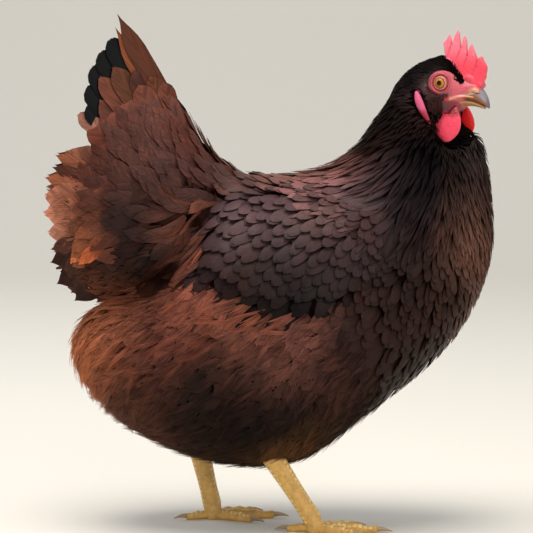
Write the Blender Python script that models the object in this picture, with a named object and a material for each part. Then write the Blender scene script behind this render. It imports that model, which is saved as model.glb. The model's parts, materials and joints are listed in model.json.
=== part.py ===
"""A standing Rhode Island Red hen, life size: one closed solid for each part that has a name.

Frame: metres, +Z up, the hen faces +X, its own right side is -Y. The floor is z = 0 and the
origin is on the floor under the middle of the bird. The feathered parts are drawn out to the
tips of the plumage. The head is turned to the bird's right.
"""

import math

import bmesh
import bpy
import numpy as np
from mathutils import Matrix, Vector
from mathutils.bvhtree import BVHTree

MM = 0.001
GAP = 0.0003  # clearance between neighbouring solids

# ---- driving sizes ----------------------------------------------------------------------
BODY_HALF_WIDTH = 92 * MM
WING_LIFT = 8 * MM  # how far the folded wing stands out from the flank
WING_DEPTH = 6 * MM  # how far it is let into the flank
STANCE_HALF_WIDTH = 38 * MM
SHANK_WIDTH = 12 * MM
SHANK_DEPTH = 17.2 * MM
TOE_WIDTH = 9.4 * MM
EYE_DIAMETER = 13.5 * MM
EYE_OFFSET = 10.2 * MM  # from the middle of the head to the middle of the eye
HEAD_YAW = math.radians(-27)  # turned to the bird's right
HEAD_CENTRE = Vector((152.8, -7.0, 383.3)) * MM  # midway between the eyes
HEAD_FRAME = Matrix.Translation(HEAD_CENTRE) @ Matrix.Rotation(HEAD_YAW, 4, "Z")

# Body stations from the rump to the throat: the point on the back, the point on the belly
# (x, z in mm), the half width as a share of the widest, the sideways shift (mm) and the yaw
# (degrees). The sections fan forward, so the neck rises out of the trunk without a seam.
BODY_STATIONS = [
    ((-154, 185), (-168, 160), 0.16, 0, 0),
    ((-136, 200), (-161, 134), 0.48, 0, 0),
    ((-108, 208), (-132, 100), 0.74, 0, 0),
    ((-84, 226), (-96, 76), 0.89, 0, 0),
    ((-60, 272), (-55, 60), 0.96, 0, 0),
    ((-30, 305), (-14, 54), 1.00, 0, 0),
    ((4, 304), (33, 61), 1.00, 0, 0),
    ((30, 307), (83, 98), 0.98, 0, 0),
    ((48, 311), (122, 127), 0.92, 0, 0),
    ((60, 317), (158, 162), 0.82, 0, 0),
    ((70, 324), (181, 201), 0.70, 0, 0),
    ((78, 331), (192.5, 244), 0.58, 0, 0),
    ((84, 339), (190.5, 288), 0.46, -1, -3),
    ((91, 350), (186.5, 324), 0.315, -3, -11),
    ((100, 363), (178.5, 348), 0.222, -5, -18),
    ((110, 379), (168, 366), 0.19, -6, -20),
]
# The sections are wider below than above by this much, by station number.
BODY_SKEW = ((8, 0.10), (11, 0.0), (12.5, -0.2), (14, -0.48))
BODY_FULLNESS = 2.25  # 2 is an oval, more is squarer
TRUNK_TOP_STATION = 10.5  # the cut between trunk and neck
STATION_STEPS = 2
BODY_SEGMENTS = 22

# Head stations along the head's own forward axis: distance ahead of the eyes, top, bottom,
# half width (mm) and how much wider the section is below than above.
HEAD_STATIONS = [
    (-51, -14, -36, 9.0, 0.10),
    (-47, -4, -44, 16.0, 0.15),
    (-38, 7.5, -46, 19.5, 0.25),
    (-28, 15, -46, 20.0, 0.30),
    (-18, 19.2, -45, 19.8, 0.33),
    (-8, 22.8, -43, 18.8, 0.34),
    (0, 23.4, -41, 17.6, 0.32),
    (7, 18.5, -36, 15.6, 0.28),
    (13, 8.5, -27, 12.4, 0.15),
    (18, 4.0, -20, 9.4, 0.05),
    (23, 1.6, -13, 7.4, 0.0),
    (28, 0.2, -10.4, 6.0, 0.0),
    (31.6, -1.6, -8.6, 4.2, 0.0),
    (33.8, -3.6, -6.8, 1.8, 0.0),
]
HEAD_FULLNESS = 2.1
HEAD_SEGMENTS = 18
# The cut between head and neck, from the nape to the throat (x, z in mm).
NAPE = (103, 371)
THROAT = (177, 350)

# Comb outline in the head's middle plane: distance ahead of the eyes and height (mm).
COMB_TIPS = [(2.0, 41.0), (10.0, 44.8), (16.5, 40.0), (22.9, 33.2), (32.4, 22.8)]
COMB_VALLEYS = [(4.6, 33.8), (13.3, 30.8), (19.5, 24.0), (28.6, 18.8)]
COMB_REAR = [(1.5, 18.0), (-1.4, 26.0), (-2.9, 34.0)]
COMB_FRONT = [(36.9, 13.6), (35.6, 4.4), (31.2, -4.0), (20.0, -5.5), (8.0, 5.0)]
# The hollow of the throat, open to the side that the head is turned to (head frame, mm).
HOLLOW_CENTRE = (14.0, -8.0, -36.0)
HOLLOW_RADII = (15.0, 27.0, 19.0)
COMB_BASE_THICKNESS = 7.0 * MM
COMB_TIP_THICKNESS = 2.6 * MM
COMB_POINT = (1.3, 3.4)  # half width of a point and how far below its tip that is (mm)
COMB_MIDDLE = (16.0, 12.0)
COMB_FOOT, COMB_HEIGHT = -4.0, 46.0  # the height where it is thickest, and on to its thinnest
COMB_BEVEL = 0.72  # how far the edge is drawn in towards the middle on both faces (mm)

# Bill sections: ahead, top, bottom, half width (mm) and how much wider below than above.
BEAK_UPPER = [
    (8, -7.5, -15.8, 9.8, 0.1), (19, -6.6, -13.8, 9.0, 0.2),
    (26, -5.2, -15.0, 7.7, 0.3), (31.5, -3.4, -17.2, 6.1, 0.35),
    (35.6, -6.6, -19.2, 4.6, 0.3), (38.4, -12.4, -20.9, 3.0, 0.15),
    (40.0, -18.4, -22.0, 1.1, 0.0),
]  # fmt: skip
BEAK_LOWER = [
    (8, -16.9, -22.6, 8.8, -0.3), (19, -14.6, -21.2, 8.0, -0.35),
    (26, -15.8, -21.2, 6.6, -0.35), (31.5, -18.0, -22.2, 4.6, -0.3),
    (36.8, -20.9, -23.6, 1.8, -0.1),
]  # fmt: skip
BEAK_SEGMENTS = 12

# Fleshy lobes of one side, on the positive side of the head frame (mm).
LOBES = {
    "wattle": {
        "top": (12.5, 9.0, -17.5), "low": (7.4, 16.0, -50.5), "width": 25.5,
        "thickness": 4.6, "swell": 1.3, "sway": (-2.0, 2.0, 0), "count": 10, "steps": 5,
    },
    "earlobe": {
        "top": (-20.0, 19.0, -6.5), "low": (-4.5, 22.6, -35.5), "width": 8.0,
        "thickness": 4.6, "swell": 0.75, "sway": (-1.6, 1.6, 0), "count": 8, "steps": 4,
    },
}  # fmt: skip
LOBE_TIP = 0.02  # share of the length left off at each end
LOBE_ROUNDNESS = 0.62
LOBE_EDGE = 0.25
LOBE_THINNING = 0.45

# Wing outline on the right flank (x, z in mm), from the bend of the wing backwards.
WING_OUTLINE = [
    (95, 250), (90, 274), (58, 289), (18, 297), (-26, 294), (-54, 276),
    (-64, 246), (-56, 216), (-24, 199), (20, 186), (46, 184), (76, 198),
]  # fmt: skip
WING_CENTRE = (14, 241)
# Rings of the outer and the inner face, as shares of the outline, and the depth of each
# face's rim in the flank. The rims differ, so the edge is blunt.
WING_OUTER = ((0.32, 0.62, 0.86, 1.0), 0.8 * MM)
WING_INNER = ((1.0, 0.8, 0.4), 2.6 * MM)

# The tail is a fan about its root. Each row is an angle from +X (degrees) and the reach of
# the covert tips there (mm).
TAIL_ROOT = (-62, 262)
COVERT_REACH = [
    (38, 46), (55, 59), (74, 59), (87, 73), (96, 90), (99, 103), (103, 117), (112, 124),
    (122, 127), (134, 131), (146, 126), (158, 126), (168, 131), (180, 126), (192, 121),
    (204, 121), (212, 115), (219, 103), (225, 86), (232, 62), (240, 48),
]  # fmt: skip
COVERT_RIBS = 28
COVERT_SHARES = (0.0, 0.45, 0.8, 1.0)  # points of a rib on its way from the root to the tips
COVERT_ROOT_REACH = 8
COVERT_LOBES_PER_TURN = 34
COVERT_LOBE_ANGLES = (95, 222)
COVERT_LOBE_DEPTH = 0.035
TAIL_RIDGE = (440, 7.0)  # height of the ridge and half width there (mm)
TAIL_SPREAD = 0.37  # half width gained for each mm below the ridge
TAIL_MOST_HALF_WIDTH = 62.0
TAIL_END_WIDTHS = ((38, 0.62), (100, 1.0), (215, 1.0), (240, 0.8))  # by angle
TAIL_ROOT_WIDTHS = ((0.0, 0.8), (0.45, 1.0))  # by share of the reach
TAIL_TIP_THINNING = 0.72
# Main tail feathers on each side: angle of the tip, its distance from the root (mm).
FAN_FEATHERS = [(110.0, 192), (115.6, 178), (121.4, 167), (127.0, 154), (132.2, 140)]
FAN_BLADE_HALF_WIDTH = 13.0
FAN_TIP_ROUNDNESS = 14
FAN_INNER_REACH = 98
FAN_LEAST_REACH = 100.0
FAN_EDGES = (7, 5)  # degrees from the first and the last tip to the plate's edges
FAN_OUT = 1.6  # from the middle plane to the first feather (mm)
FAN_OUT_PER_DEGREE = 0.5
FAN_RIBS = 22
FAN_THICKNESS = 2.4 * MM

# Feet: hub of the toes on the floor (x, mm) and the point where the shank leaves the
# plumage (x, z in mm), with the side it is on.
LEGS = {
    "right": {"side": -1, "hub": 40, "hock": (3, 66)},
    "left": {"side": 1, "hub": -48, "hock": (-60.5, 64)},
}
HOCK_INSET = 2 * MM  # the legs lean in towards the body by this
ANKLE_HEIGHT = 9 * MM
# Thigh sections: ahead of the hock, out from the middle, height, half depth and half width
# (mm). The last two rows are set by the hock and lie along the shank.
THIGH_KNEE = (30, 62, 190, 20, 16)
THIGH_MIDDLE = (18, 62, 122, 38, 31)
THIGH_LOW = (18, 8, 24, 21)  # up the shank's line, out from it, half depth, half width
THIGH_END = (11.5, 9.5)
THIGH_SEGMENTS = 14
# Shank sections: share of the way to the ankle, depth and width as shares of its own.
SHANK_ROWS = [
    (0.00, 1.08, 1.08), (0.18, 0.98, 1.0), (0.45, 0.88, 0.94), (0.72, 0.84, 0.93),
    (0.92, 0.90, 1.02),
]  # fmt: skip
HUB_ROWS = ((7.5 * MM, 1.0), (3.5 * MM, 1.02), (0.0, 0.86))  # height, share of the radius
SHANK_SEGMENTS = 12
# Toes: angle from straight ahead (degrees, outwards), length from the hub without the claw
# (mm), the pads of the joints, and the thickness as a share of the front toes'.
TOES = {
    "inner": {"angle": -33, "length": 40, "joints": 3, "slim": 1.0},
    "middle": {"angle": 3, "length": 53, "joints": 3, "slim": 1.0},
    "outer": {"angle": 38, "length": 42, "joints": 3, "slim": 1.0},
    "hallux": {"angle": 196, "length": 24, "joints": 2, "slim": 0.86},
}
HUB_RADIUS = 7.4 * MM
TOE_ROOT = 4 * MM
TOE_START = 8.2 * MM
TOE_STEPS = 6
TOE_TAPER = 0.30
TOE_PAD = 0.10  # swelling of a pad, as a share of the radius
TOE_SINK = 0.82  # height of the middle over the floor, as a share of the radius
TOE_ARCH = 0.6 * MM
TOE_NEIGHBOUR_ANGLE = 60  # toes closer than this are cut apart
CLAW_LENGTH = 13 * MM
CLAW_WIDTH_SHARE = 0.8
# Claw sections: share of the length, radius and height of the middle.
CLAW_ROWS = [
    (0.0, 2.7 * MM, 3.6 * MM), (0.33, 2.1 * MM, 3.7 * MM),
    (0.67, 1.35 * MM, 3.1 * MM), (1.0, 0.5 * MM, 1.8 * MM),
]  # fmt: skip


# ---- scene, materials and small helpers --------------------------------------------------
def clear_scene():
    for obj in list(bpy.data.objects):
        bpy.data.objects.remove(obj, do_unlink=True)


def collection(name, hidden=False):
    made = bpy.data.collections.new(name)
    bpy.context.scene.collection.children.link(made)
    made.hide_render = hidden
    return made


def material(name, colour, roughness, metallic=0.0):
    made = bpy.data.materials.new(name)
    made.use_nodes = True
    shader = made.node_tree.nodes["Principled BSDF"]
    shader.inputs["Base Color"].default_value = (*colour, 1.0)
    shader.inputs["Roughness"].default_value = roughness
    shader.inputs["Metallic"].default_value = metallic
    return made


def smooth_rows(rows, steps):
    """Catmull-Rom rows through the given ones, with this many steps between neighbours."""
    rows = np.array(rows, float)
    padded = np.vstack([2 * rows[0] - rows[1], rows, 2 * rows[-1] - rows[-2]])
    made = []
    for i in range(len(rows) - 1):
        a, b, c, d = padded[i : i + 4]
        for step in range(steps):
            t = step / steps
            made.append(
                0.5 * (2 * b + (c - a) * t + (2 * a - 5 * b + 4 * c - d) * t**2
                       + (3 * b - a - 3 * c + d) * t**3)
            )  # fmt: skip
    made.append(rows[-1])
    return np.array(made)


def smooth_loop(points, steps):
    """The same through a closed loop of points."""
    rows = smooth_rows([points[-1], *points, *points[:2]], steps)
    return rows[steps : steps * (len(points) + 1)]


def add_object(name, bm, look, group):
    """The bmesh becomes an object of triangles, so that a grown copy keeps its facets."""
    bmesh.ops.triangulate(bm, faces=bm.faces)
    bmesh.ops.recalc_face_normals(bm, faces=bm.faces)
    mesh = bpy.data.meshes.new(name)
    bm.to_mesh(mesh)
    bm.free()
    if mesh.polygons and volume_of(mesh) < 0:
        mesh.flip_normals()
    mesh.shade_smooth()
    mesh.set_sharp_from_angle(angle=math.radians(50))
    obj = bpy.data.objects.new(name, mesh)
    if look:
        mesh.materials.append(look)
    group.objects.link(obj)
    return obj


def volume_of(mesh):
    mesh.calc_loop_triangles()
    points = np.array([v.co[:] for v in mesh.vertices])
    corners = points[np.array([t.vertices[:] for t in mesh.loop_triangles])]
    return np.linalg.det(corners).sum() / 6


def loft(bm, rings):
    """Skins closed rings of equally many points, and closes both ends with fans."""
    made = [[bm.verts.new(point) for point in ring] for ring in rings]
    for near, far in zip(made, made[1:]):
        for i in range(len(near)):
            j = (i + 1) % len(near)
            bm.faces.new((near[i], near[j], far[j], far[i]))
    for ring, flip in ((made[0], True), (made[-1], False)):
        pole = bm.verts.new(sum((vert.co for vert in ring), Vector()) / len(ring))
        for i in range(len(ring)):
            pair = (ring[i], ring[(i + 1) % len(ring)])
            bm.faces.new((*(reversed(pair) if flip else pair), pole))


def oval(count, skew=0.0, fullness=2.0):
    """(up, side) pairs round an oval, wider below than above by the skew."""
    made = []
    for i in range(count):
        turn = 2 * math.pi * (i + 0.5) / count
        up, side = math.cos(turn), math.sin(turn)
        side = math.copysign(abs(side) ** (2 / fullness), side) * (1 - skew * up)
        made.append((up, side))
    return made


def cut_off(bm, point, normal):
    """Removes what lies on the normal's side of a plane and closes the cut."""
    geometry = bm.verts[:] + bm.edges[:] + bm.faces[:]
    bmesh.ops.bisect_plane(
        bm, geom=geometry, plane_co=point, plane_no=normal, clear_outer=True, dist=1e-7
    )
    rim = [edge for edge in bm.edges if edge.is_boundary]
    bmesh.ops.holes_fill(bm, edges=rim, sides=0)


def grown(obj, amount, group):
    """A cutter: the object's mesh with every point moved out along its normal."""
    bm = bmesh.new()
    bm.from_mesh(obj.data)
    bm.normal_update()
    for vert in bm.verts:
        vert.co += vert.normal * amount
    return add_object(obj.name + "_cutter", bm, None, group)


def hide_cutter(obj):
    obj.hide_render = True
    obj.display_type = "WIRE"


def cut_with(obj, cutters):
    for cutter in cutters:
        hide_cutter(cutter)
        modifier = obj.modifiers.new("clear of " + cutter.name, "BOOLEAN")
        modifier.operation = "DIFFERENCE"
        modifier.solver = "EXACT"
        modifier.object = cutter


def mirrored_name(name, side):
    return name + ("_right" if side < 0 else "_left")


# ---- trunk and neck ----------------------------------------------------------------------
def body_rings(first, last):
    """The body's sections between two station numbers, which may be fractions."""
    rows = []
    for (top_x, top_z), (low_x, low_z), share, shift, yaw in BODY_STATIONS:
        rows.append((top_x, top_z, low_x, low_z, share, shift, yaw))
    rows = smooth_rows(rows, STATION_STEPS)
    numbers = np.arange(len(rows)) / STATION_STEPS
    wanted = [first, *[n for n in numbers if first < n < last], last]
    rings = []
    for number in wanted:
        top_x, top_z, low_x, low_z, share, shift, yaw = [
            np.interp(number, numbers, rows[:, k]) for k in range(7)
        ]
        top, low = Vector((top_x, 0, top_z)) * MM, Vector((low_x, 0, low_z)) * MM
        centre, half = (top + low) / 2, (top - low) / 2
        turn = Matrix.Rotation(math.radians(yaw), 3, "Z")
        skew = np.interp(number, *zip(*BODY_SKEW))
        ring = []
        for up, side in oval(BODY_SEGMENTS, skew, BODY_FULLNESS):
            offset = turn @ (half * up + Vector((0, side * share * BODY_HALF_WIDTH, 0)))
            ring.append(centre + Vector((0, shift * MM, 0)) + offset)
        rings.append(ring)
    return rings


def body_part(name, first, last, look, group):
    bm = bmesh.new()
    loft(bm, body_rings(first, last))
    return add_object(name, bm, look, group)


def neck_cut():
    """A point of the cut between head and neck, and its normal towards the head."""
    nape = Vector((NAPE[0], 0, NAPE[1])) * MM
    throat = Vector((THROAT[0], 0, THROAT[1])) * MM
    along = (throat - nape).normalized()
    normal = Vector((-along.z, 0, along.x))
    return (nape + throat) / 2, normal


def make_trunk_and_neck(look, group):
    last = len(BODY_STATIONS) - 1
    trunk = body_part("trunk", 0, TRUNK_TOP_STATION, look, group)
    rings = body_rings(TRUNK_TOP_STATION, last)
    # The neck starts one gap above the trunk's top face.
    face = [Vector(p) for p in rings[0]]
    centre = sum(face, Vector()) / len(face)
    normal = (face[0] - centre).cross(face[BODY_SEGMENTS // 4] - centre).normalized()
    if normal.x + normal.z < 0:
        normal = -normal
    rings[0] = [p + normal * GAP for p in face]
    bm = bmesh.new()
    loft(bm, rings)
    point, up = neck_cut()
    cut_off(bm, point - up * GAP / 2, up)
    neck = add_object("neck", bm, look, group)
    return trunk, neck


# ---- head --------------------------------------------------------------------------------
def head_section(ahead, top, low, half_width, skew):
    half = (top - low) / 2
    ring = []
    for up, side in oval(HEAD_SEGMENTS, skew, HEAD_FULLNESS):
        ring.append(Vector((ahead, side * half_width, (top + low) / 2 + up * half)) * MM)
    return ring


def make_head(look, group):
    bm = bmesh.new()
    loft(bm, [head_section(*row) for row in HEAD_STATIONS])
    bmesh.ops.transform(bm, matrix=HEAD_FRAME, verts=bm.verts)
    point, up = neck_cut()
    cut_off(bm, point + up * GAP / 2, -up)
    return add_object("head", bm, look, group)


def make_eye(side, look, group):
    """An eyeball let into the head, so that a third of it shows."""
    bm = bmesh.new()
    bmesh.ops.create_uvsphere(bm, u_segments=10, v_segments=6, radius=EYE_DIAMETER / 2)
    sphere_axis = Matrix.Rotation(math.radians(90), 4, "X")
    place = Matrix.Translation((0, side * EYE_OFFSET, 0))
    bmesh.ops.transform(bm, matrix=HEAD_FRAME @ place @ sphere_axis, verts=bm.verts)
    return add_object(mirrored_name("eye", side), bm, look, group)


def make_comb(look, group):
    """A single comb: an upright plate with five points, thickest where it joins the head."""
    half, drop = COMB_POINT
    outline = list(COMB_REAR)
    for (ahead, height), valley in zip(COMB_TIPS, [*COMB_VALLEYS, None]):
        outline += [(ahead - half, height - drop), (ahead, height), (ahead + half, height - drop)]
        if valley:
            outline.append(valley)
    outline += COMB_FRONT
    rings = []
    # From the left face, over the edge, to the right face.
    for inset, level in [(COMB_BEVEL, 1.0), (0.0, 0.45), (0.0, -0.45), (COMB_BEVEL, -1.0)]:
        ring = []
        for point in outline:
            toward = Vector(COMB_MIDDLE) - Vector(point)
            ahead, height = Vector(point) + toward.normalized() * inset
            share = min(1.0, max(0.0, (height - COMB_FOOT) / COMB_HEIGHT))
            thick = COMB_BASE_THICKNESS * (1 - share) + COMB_TIP_THICKNESS * share
            ring.append(HEAD_FRAME @ Vector((ahead * MM, level * thick / 2, height * MM)))
        rings.append(ring)
    bm = bmesh.new()
    loft(bm, rings)
    return add_object("comb", bm, look, group)


def make_beak(name, rows, look, group):
    bm = bmesh.new()
    rings = []
    for ahead, top, low, half_width, roof in rows:
        ring = []
        for up, side in oval(BEAK_SEGMENTS, roof):
            height = (top + low) / 2 + up * (top - low) / 2
            ring.append(HEAD_FRAME @ (Vector((ahead, side * half_width, height)) * MM))
        rings.append(ring)
    loft(bm, rings)
    return add_object(name, bm, look, group)


def hanging_lobe(side, top, low, width, thickness, swell, sway, count, steps):
    """A fleshy lobe that hangs from top to low (head frame, mm): a loft of flat ovals,
    widest below its middle when swell is over 1, and thinner downwards."""
    to_side = Matrix.Diagonal((1, side, 1))
    top, low, sway = (to_side @ Vector(point) for point in (top, low, sway))
    bm = bmesh.new()
    rings = []
    for step in range(steps + 1):
        t = LOBE_TIP + (1 - 2 * LOBE_TIP) * step / steps
        bulge = math.sin(math.pi * t**swell)
        centre = top.lerp(low, t) + sway * math.sin(math.pi * t)
        half_width = width / 2 * bulge**LOBE_ROUNDNESS
        half_thickness = thickness / 2 * (1 - LOBE_THINNING * t) * bulge**LOBE_EDGE
        ring = []
        for ahead, across in oval(count):
            offset = Vector((ahead * half_width, across * half_thickness, 0))
            ring.append(HEAD_FRAME @ ((centre + offset) * MM))
        rings.append(ring)
    loft(bm, rings)
    return bm


def make_lobe(kind, side, look, group):
    bm = hanging_lobe(side, **LOBES[kind])
    return add_object(mirrored_name(kind, side), bm, look, group)


def make_chin_hollow(group):
    """A cutter for the hollow under the chin, where the wattles hang clear."""
    bm = bmesh.new()
    bmesh.ops.create_uvsphere(bm, u_segments=12, v_segments=7, radius=1)
    shape = Matrix.Diagonal((*(Vector(HOLLOW_RADII) * MM), 1))
    place = Matrix.Translation(Vector(HOLLOW_CENTRE) * MM)
    bmesh.ops.transform(bm, matrix=HEAD_FRAME @ place @ shape, verts=bm.verts)
    return add_object("chin_hollow", bm, None, group)


# ---- wings and thighs --------------------------------------------------------------------
def surface_of(obj):
    bm = bmesh.new()
    bm.from_mesh(obj.data)
    tree = BVHTree.FromBMesh(bm)
    bm.free()
    return tree


def flank_point(tree, side, x, z):
    """The flank's surface at this x and z, and its outward direction there."""
    start = Vector((x * MM, side * 0.4, z * MM))
    hit, normal, _, _ = tree.ray_cast(start, Vector((0, -side, 0)))
    return hit, normal


def make_wing(side, tree, look, group):
    """The folded wing: a lens that follows the flank, let into it all round."""
    outline = smooth_loop(WING_OUTLINE, 2)
    centre = np.array(WING_CENTRE)
    rings = []
    for (shares, sunk), middle in ((WING_OUTER, WING_LIFT), (WING_INNER, -WING_DEPTH)):
        for share in shares:
            dome = math.sqrt(1 - share**2)
            rise = (middle + sunk) * dome - sunk
            ring = []
            for point in outline:
                hit, normal = flank_point(tree, side, *(centre + (point - centre) * share))
                ring.append(hit + normal * rise)
            rings.append(ring)
    bm = bmesh.new()
    loft(bm, rings)
    return add_object(mirrored_name("wing", side), bm, look, group)


def leg_points(leg):
    """The hub on the floor, the ankle, the hock, and the direction up the shank."""
    side = leg["side"]
    hub = Vector((leg["hub"] * MM, side * STANCE_HALF_WIDTH, 0))
    ankle = hub + Vector((0, 0, ANKLE_HEIGHT))
    hock_x, hock_z = leg["hock"]
    hock = Vector((hock_x * MM, side * (STANCE_HALF_WIDTH - HOCK_INSET), hock_z * MM))
    return hub, ankle, hock, (hock - ankle).normalized()


def leg_ring(centre, up, half_depth, half_width, count):
    """An oval across the leg, its depth fore and aft."""
    fore = Vector((0, 1, 0)).cross(up).normalized()
    across = up.cross(fore)
    pairs = oval(count)
    return [centre + fore * a * half_depth + across * b * half_width for a, b in pairs]


def make_thigh(leg, look, group):
    """The feathered drumstick, from inside the flank down to the bare shank."""
    side = leg["side"]
    _, _, hock, along = leg_points(leg)
    rows = []
    for ahead, out, height, half_depth, half_width in (THIGH_KNEE, THIGH_MIDDLE):
        rows.append((hock.x / MM + ahead, side * out, height, half_depth, half_width))
    up, out, half_depth, half_width = THIGH_LOW
    low = hock / MM + along * up + Vector((0, side * out, 0))
    rows.append((*low, half_depth, half_width))
    rows.append((*((hock + along * GAP) / MM), *THIGH_END))
    rows = smooth_rows(rows, 2) * MM
    rings = []
    for i, (x, y, z, half_depth, half_width) in enumerate(rows):
        lean = Vector((0, 0, 1)).lerp(along, i / (len(rows) - 1)).normalized()
        rings.append(leg_ring(Vector((x, y, z)), lean, half_depth, half_width, THIGH_SEGMENTS))
    bm = bmesh.new()
    loft(bm, rings)
    return add_object(mirrored_name("thigh", side), bm, look, group)


# ---- tail --------------------------------------------------------------------------------
def tail_half_width(z, share, angle):
    """Half width of the covert mass (mm): a tent below the ridge, thinner towards the tips
    and where it runs into the back and the rump."""
    ridge_z, ridge_half = TAIL_RIDGE
    tent = min(TAIL_MOST_HALF_WIDTH, ridge_half + (ridge_z - z) * TAIL_SPREAD)
    ends = np.interp(angle, *zip(*TAIL_END_WIDTHS))
    root = np.interp(share, *zip(*TAIL_ROOT_WIDTHS))
    return tent * ends * root * (1 - TAIL_TIP_THINNING * share**3)


def tail_point(angle, reach, across):
    """A point of the fan about the tail's root, from a polar angle and reach (mm)."""
    turn = math.radians(angle)
    x = TAIL_ROOT[0] + reach * math.cos(turn)
    return Vector((x, across, TAIL_ROOT[1] + reach * math.sin(turn))) * MM


def make_coverts(look, group):
    """The mass of tail coverts: upright ribs fanned about the tail's root."""
    angles, reaches = zip(*COVERT_REACH)
    first_lobe, last_lobe = COVERT_LOBE_ANGLES
    rings = []
    for angle in np.linspace(angles[0], angles[-1], COVERT_RIBS):
        reach = np.interp(angle, angles, reaches)
        if first_lobe < angle < last_lobe:
            lobe = abs(math.sin(math.radians(angle) * COVERT_LOBES_PER_TURN / 2))
            reach *= 1 - COVERT_LOBE_DEPTH + 2 * COVERT_LOBE_DEPTH * lobe**0.7
        ring = []
        for sign, shares in ((-1, COVERT_SHARES), (1, reversed(COVERT_SHARES))):
            for share in shares:
                far = COVERT_ROOT_REACH + (reach - COVERT_ROOT_REACH) * share
                height = tail_point(angle, far, 0).z / MM
                ring.append(tail_point(angle, far, sign * tail_half_width(height, share, angle)))
        rings.append(ring)
    bm = bmesh.new()
    loft(bm, rings)
    return add_object("tail_coverts", bm, look, group)


def make_tail_fan(side, look, group):
    """The main tail feathers of one side, as one plate with a round tip for each."""
    first = FAN_FEATHERS[0][0] - FAN_EDGES[0]
    last = FAN_FEATHERS[-1][0] + FAN_EDGES[1]
    rings = []
    for angle in np.linspace(first, last, FAN_RIBS):
        reach = FAN_LEAST_REACH
        for tip, far in FAN_FEATHERS:
            off = math.radians(abs(angle - tip))
            side_edge = FAN_BLADE_HALF_WIDTH / max(math.sin(off), 1e-6)
            reach = max(reach, min(side_edge, far * (1 - FAN_TIP_ROUNDNESS * off**2)))
        out = FAN_OUT + FAN_OUT_PER_DEGREE * (angle - first)
        corners = (
            (FAN_INNER_REACH, -1), (reach, -1), (reach, 1), (FAN_INNER_REACH, 1),
        )  # fmt: skip
        ring = []
        for far, face in corners:
            ring.append(tail_point(angle, far, side * (out + face * FAN_THICKNESS / MM / 2)))
        rings.append(ring)
    bm = bmesh.new()
    loft(bm, rings)
    return add_object(mirrored_name("tail_feathers", side), bm, look, group)


# ---- legs --------------------------------------------------------------------------------
def make_shank(leg, look, group):
    """Bare shank with the hub of the toes at its foot, flat where it meets the floor."""
    hub, ankle, hock, along = leg_points(leg)
    rings = []
    for share, deep, wide in SHANK_ROWS:
        half_depth, half_width = deep * SHANK_DEPTH / 2, wide * SHANK_WIDTH / 2
        centre = hock.lerp(ankle, share)
        rings.append(leg_ring(centre, along, half_depth, half_width, SHANK_SEGMENTS))
    for height, share in HUB_ROWS:
        radius = HUB_RADIUS * share
        centre = hub + Vector((0, 0, height))
        rings.append(leg_ring(centre, Vector((0, 0, 1)), radius, radius, SHANK_SEGMENTS))
    bm = bmesh.new()
    loft(bm, rings)
    return add_object(mirrored_name("shank", leg["side"]), bm, look, group)


def toe_ring(x, radius, width_share, centre_z, count):
    pairs = oval(count)
    return [Vector((x, b * radius * width_share, centre_z + a * radius)) for a, b in pairs]


def make_toe(leg, name, looks, group):
    """A toe with a pad under each joint, and its claw. Both are parted from their
    neighbours by upright cuts, and the toe is flat underneath."""
    side = leg["side"]
    form = TOES[name]
    angle = form["angle"]
    hub, _, _, _ = leg_points(leg)
    turn = Matrix.Rotation(math.radians(side * angle), 4, "Z")
    place = Matrix.Translation(hub) @ turn
    length = form["length"] * MM
    rings = []
    for i in range(TOE_STEPS + 1):
        t = i / TOE_STEPS
        pad = TOE_PAD * math.cos(2 * math.pi * form["joints"] * t)
        radius = form["slim"] * TOE_WIDTH / 2 * (1 - TOE_TAPER * t + pad)
        centre_z = radius * TOE_SINK + TOE_ARCH * math.sin(math.pi * t)
        x = TOE_ROOT + (length - TOE_ROOT) * t
        rings.append(toe_ring(x, radius, 1.0, centre_z, 8))
    bm = bmesh.new()
    loft(bm, rings)
    cut_off(bm, Vector((0, 0, 0)), Vector((0, 0, -1)))
    cut_off(bm, Vector((TOE_START, 0, 0)), Vector((-1, 0, 0)))
    for other in TOES.values():
        apart = other["angle"] - angle
        if 0 < abs(apart) < TOE_NEIGHBOUR_ANGLE:
            half = math.radians(apart / 2) * side
            normal = Vector((-math.sin(half), math.cos(half), 0)) * math.copysign(1, half)
            cut_off(bm, normal * -GAP / 2, normal)
    bmesh.ops.transform(bm, matrix=place, verts=bm.verts)
    add_object(mirrored_name("toe_" + name, side), bm, looks["leg"], group)

    rings = []
    for t, radius, centre_z in CLAW_ROWS:
        x = length + GAP + CLAW_LENGTH * form["slim"] * t
        rings.append(toe_ring(x, form["slim"] * radius, CLAW_WIDTH_SHARE, centre_z, 6))
    bm = bmesh.new()
    loft(bm, rings)
    bmesh.ops.transform(bm, matrix=place, verts=bm.verts)
    add_object(mirrored_name("claw_" + name, side), bm, looks["claw"], group)


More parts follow.
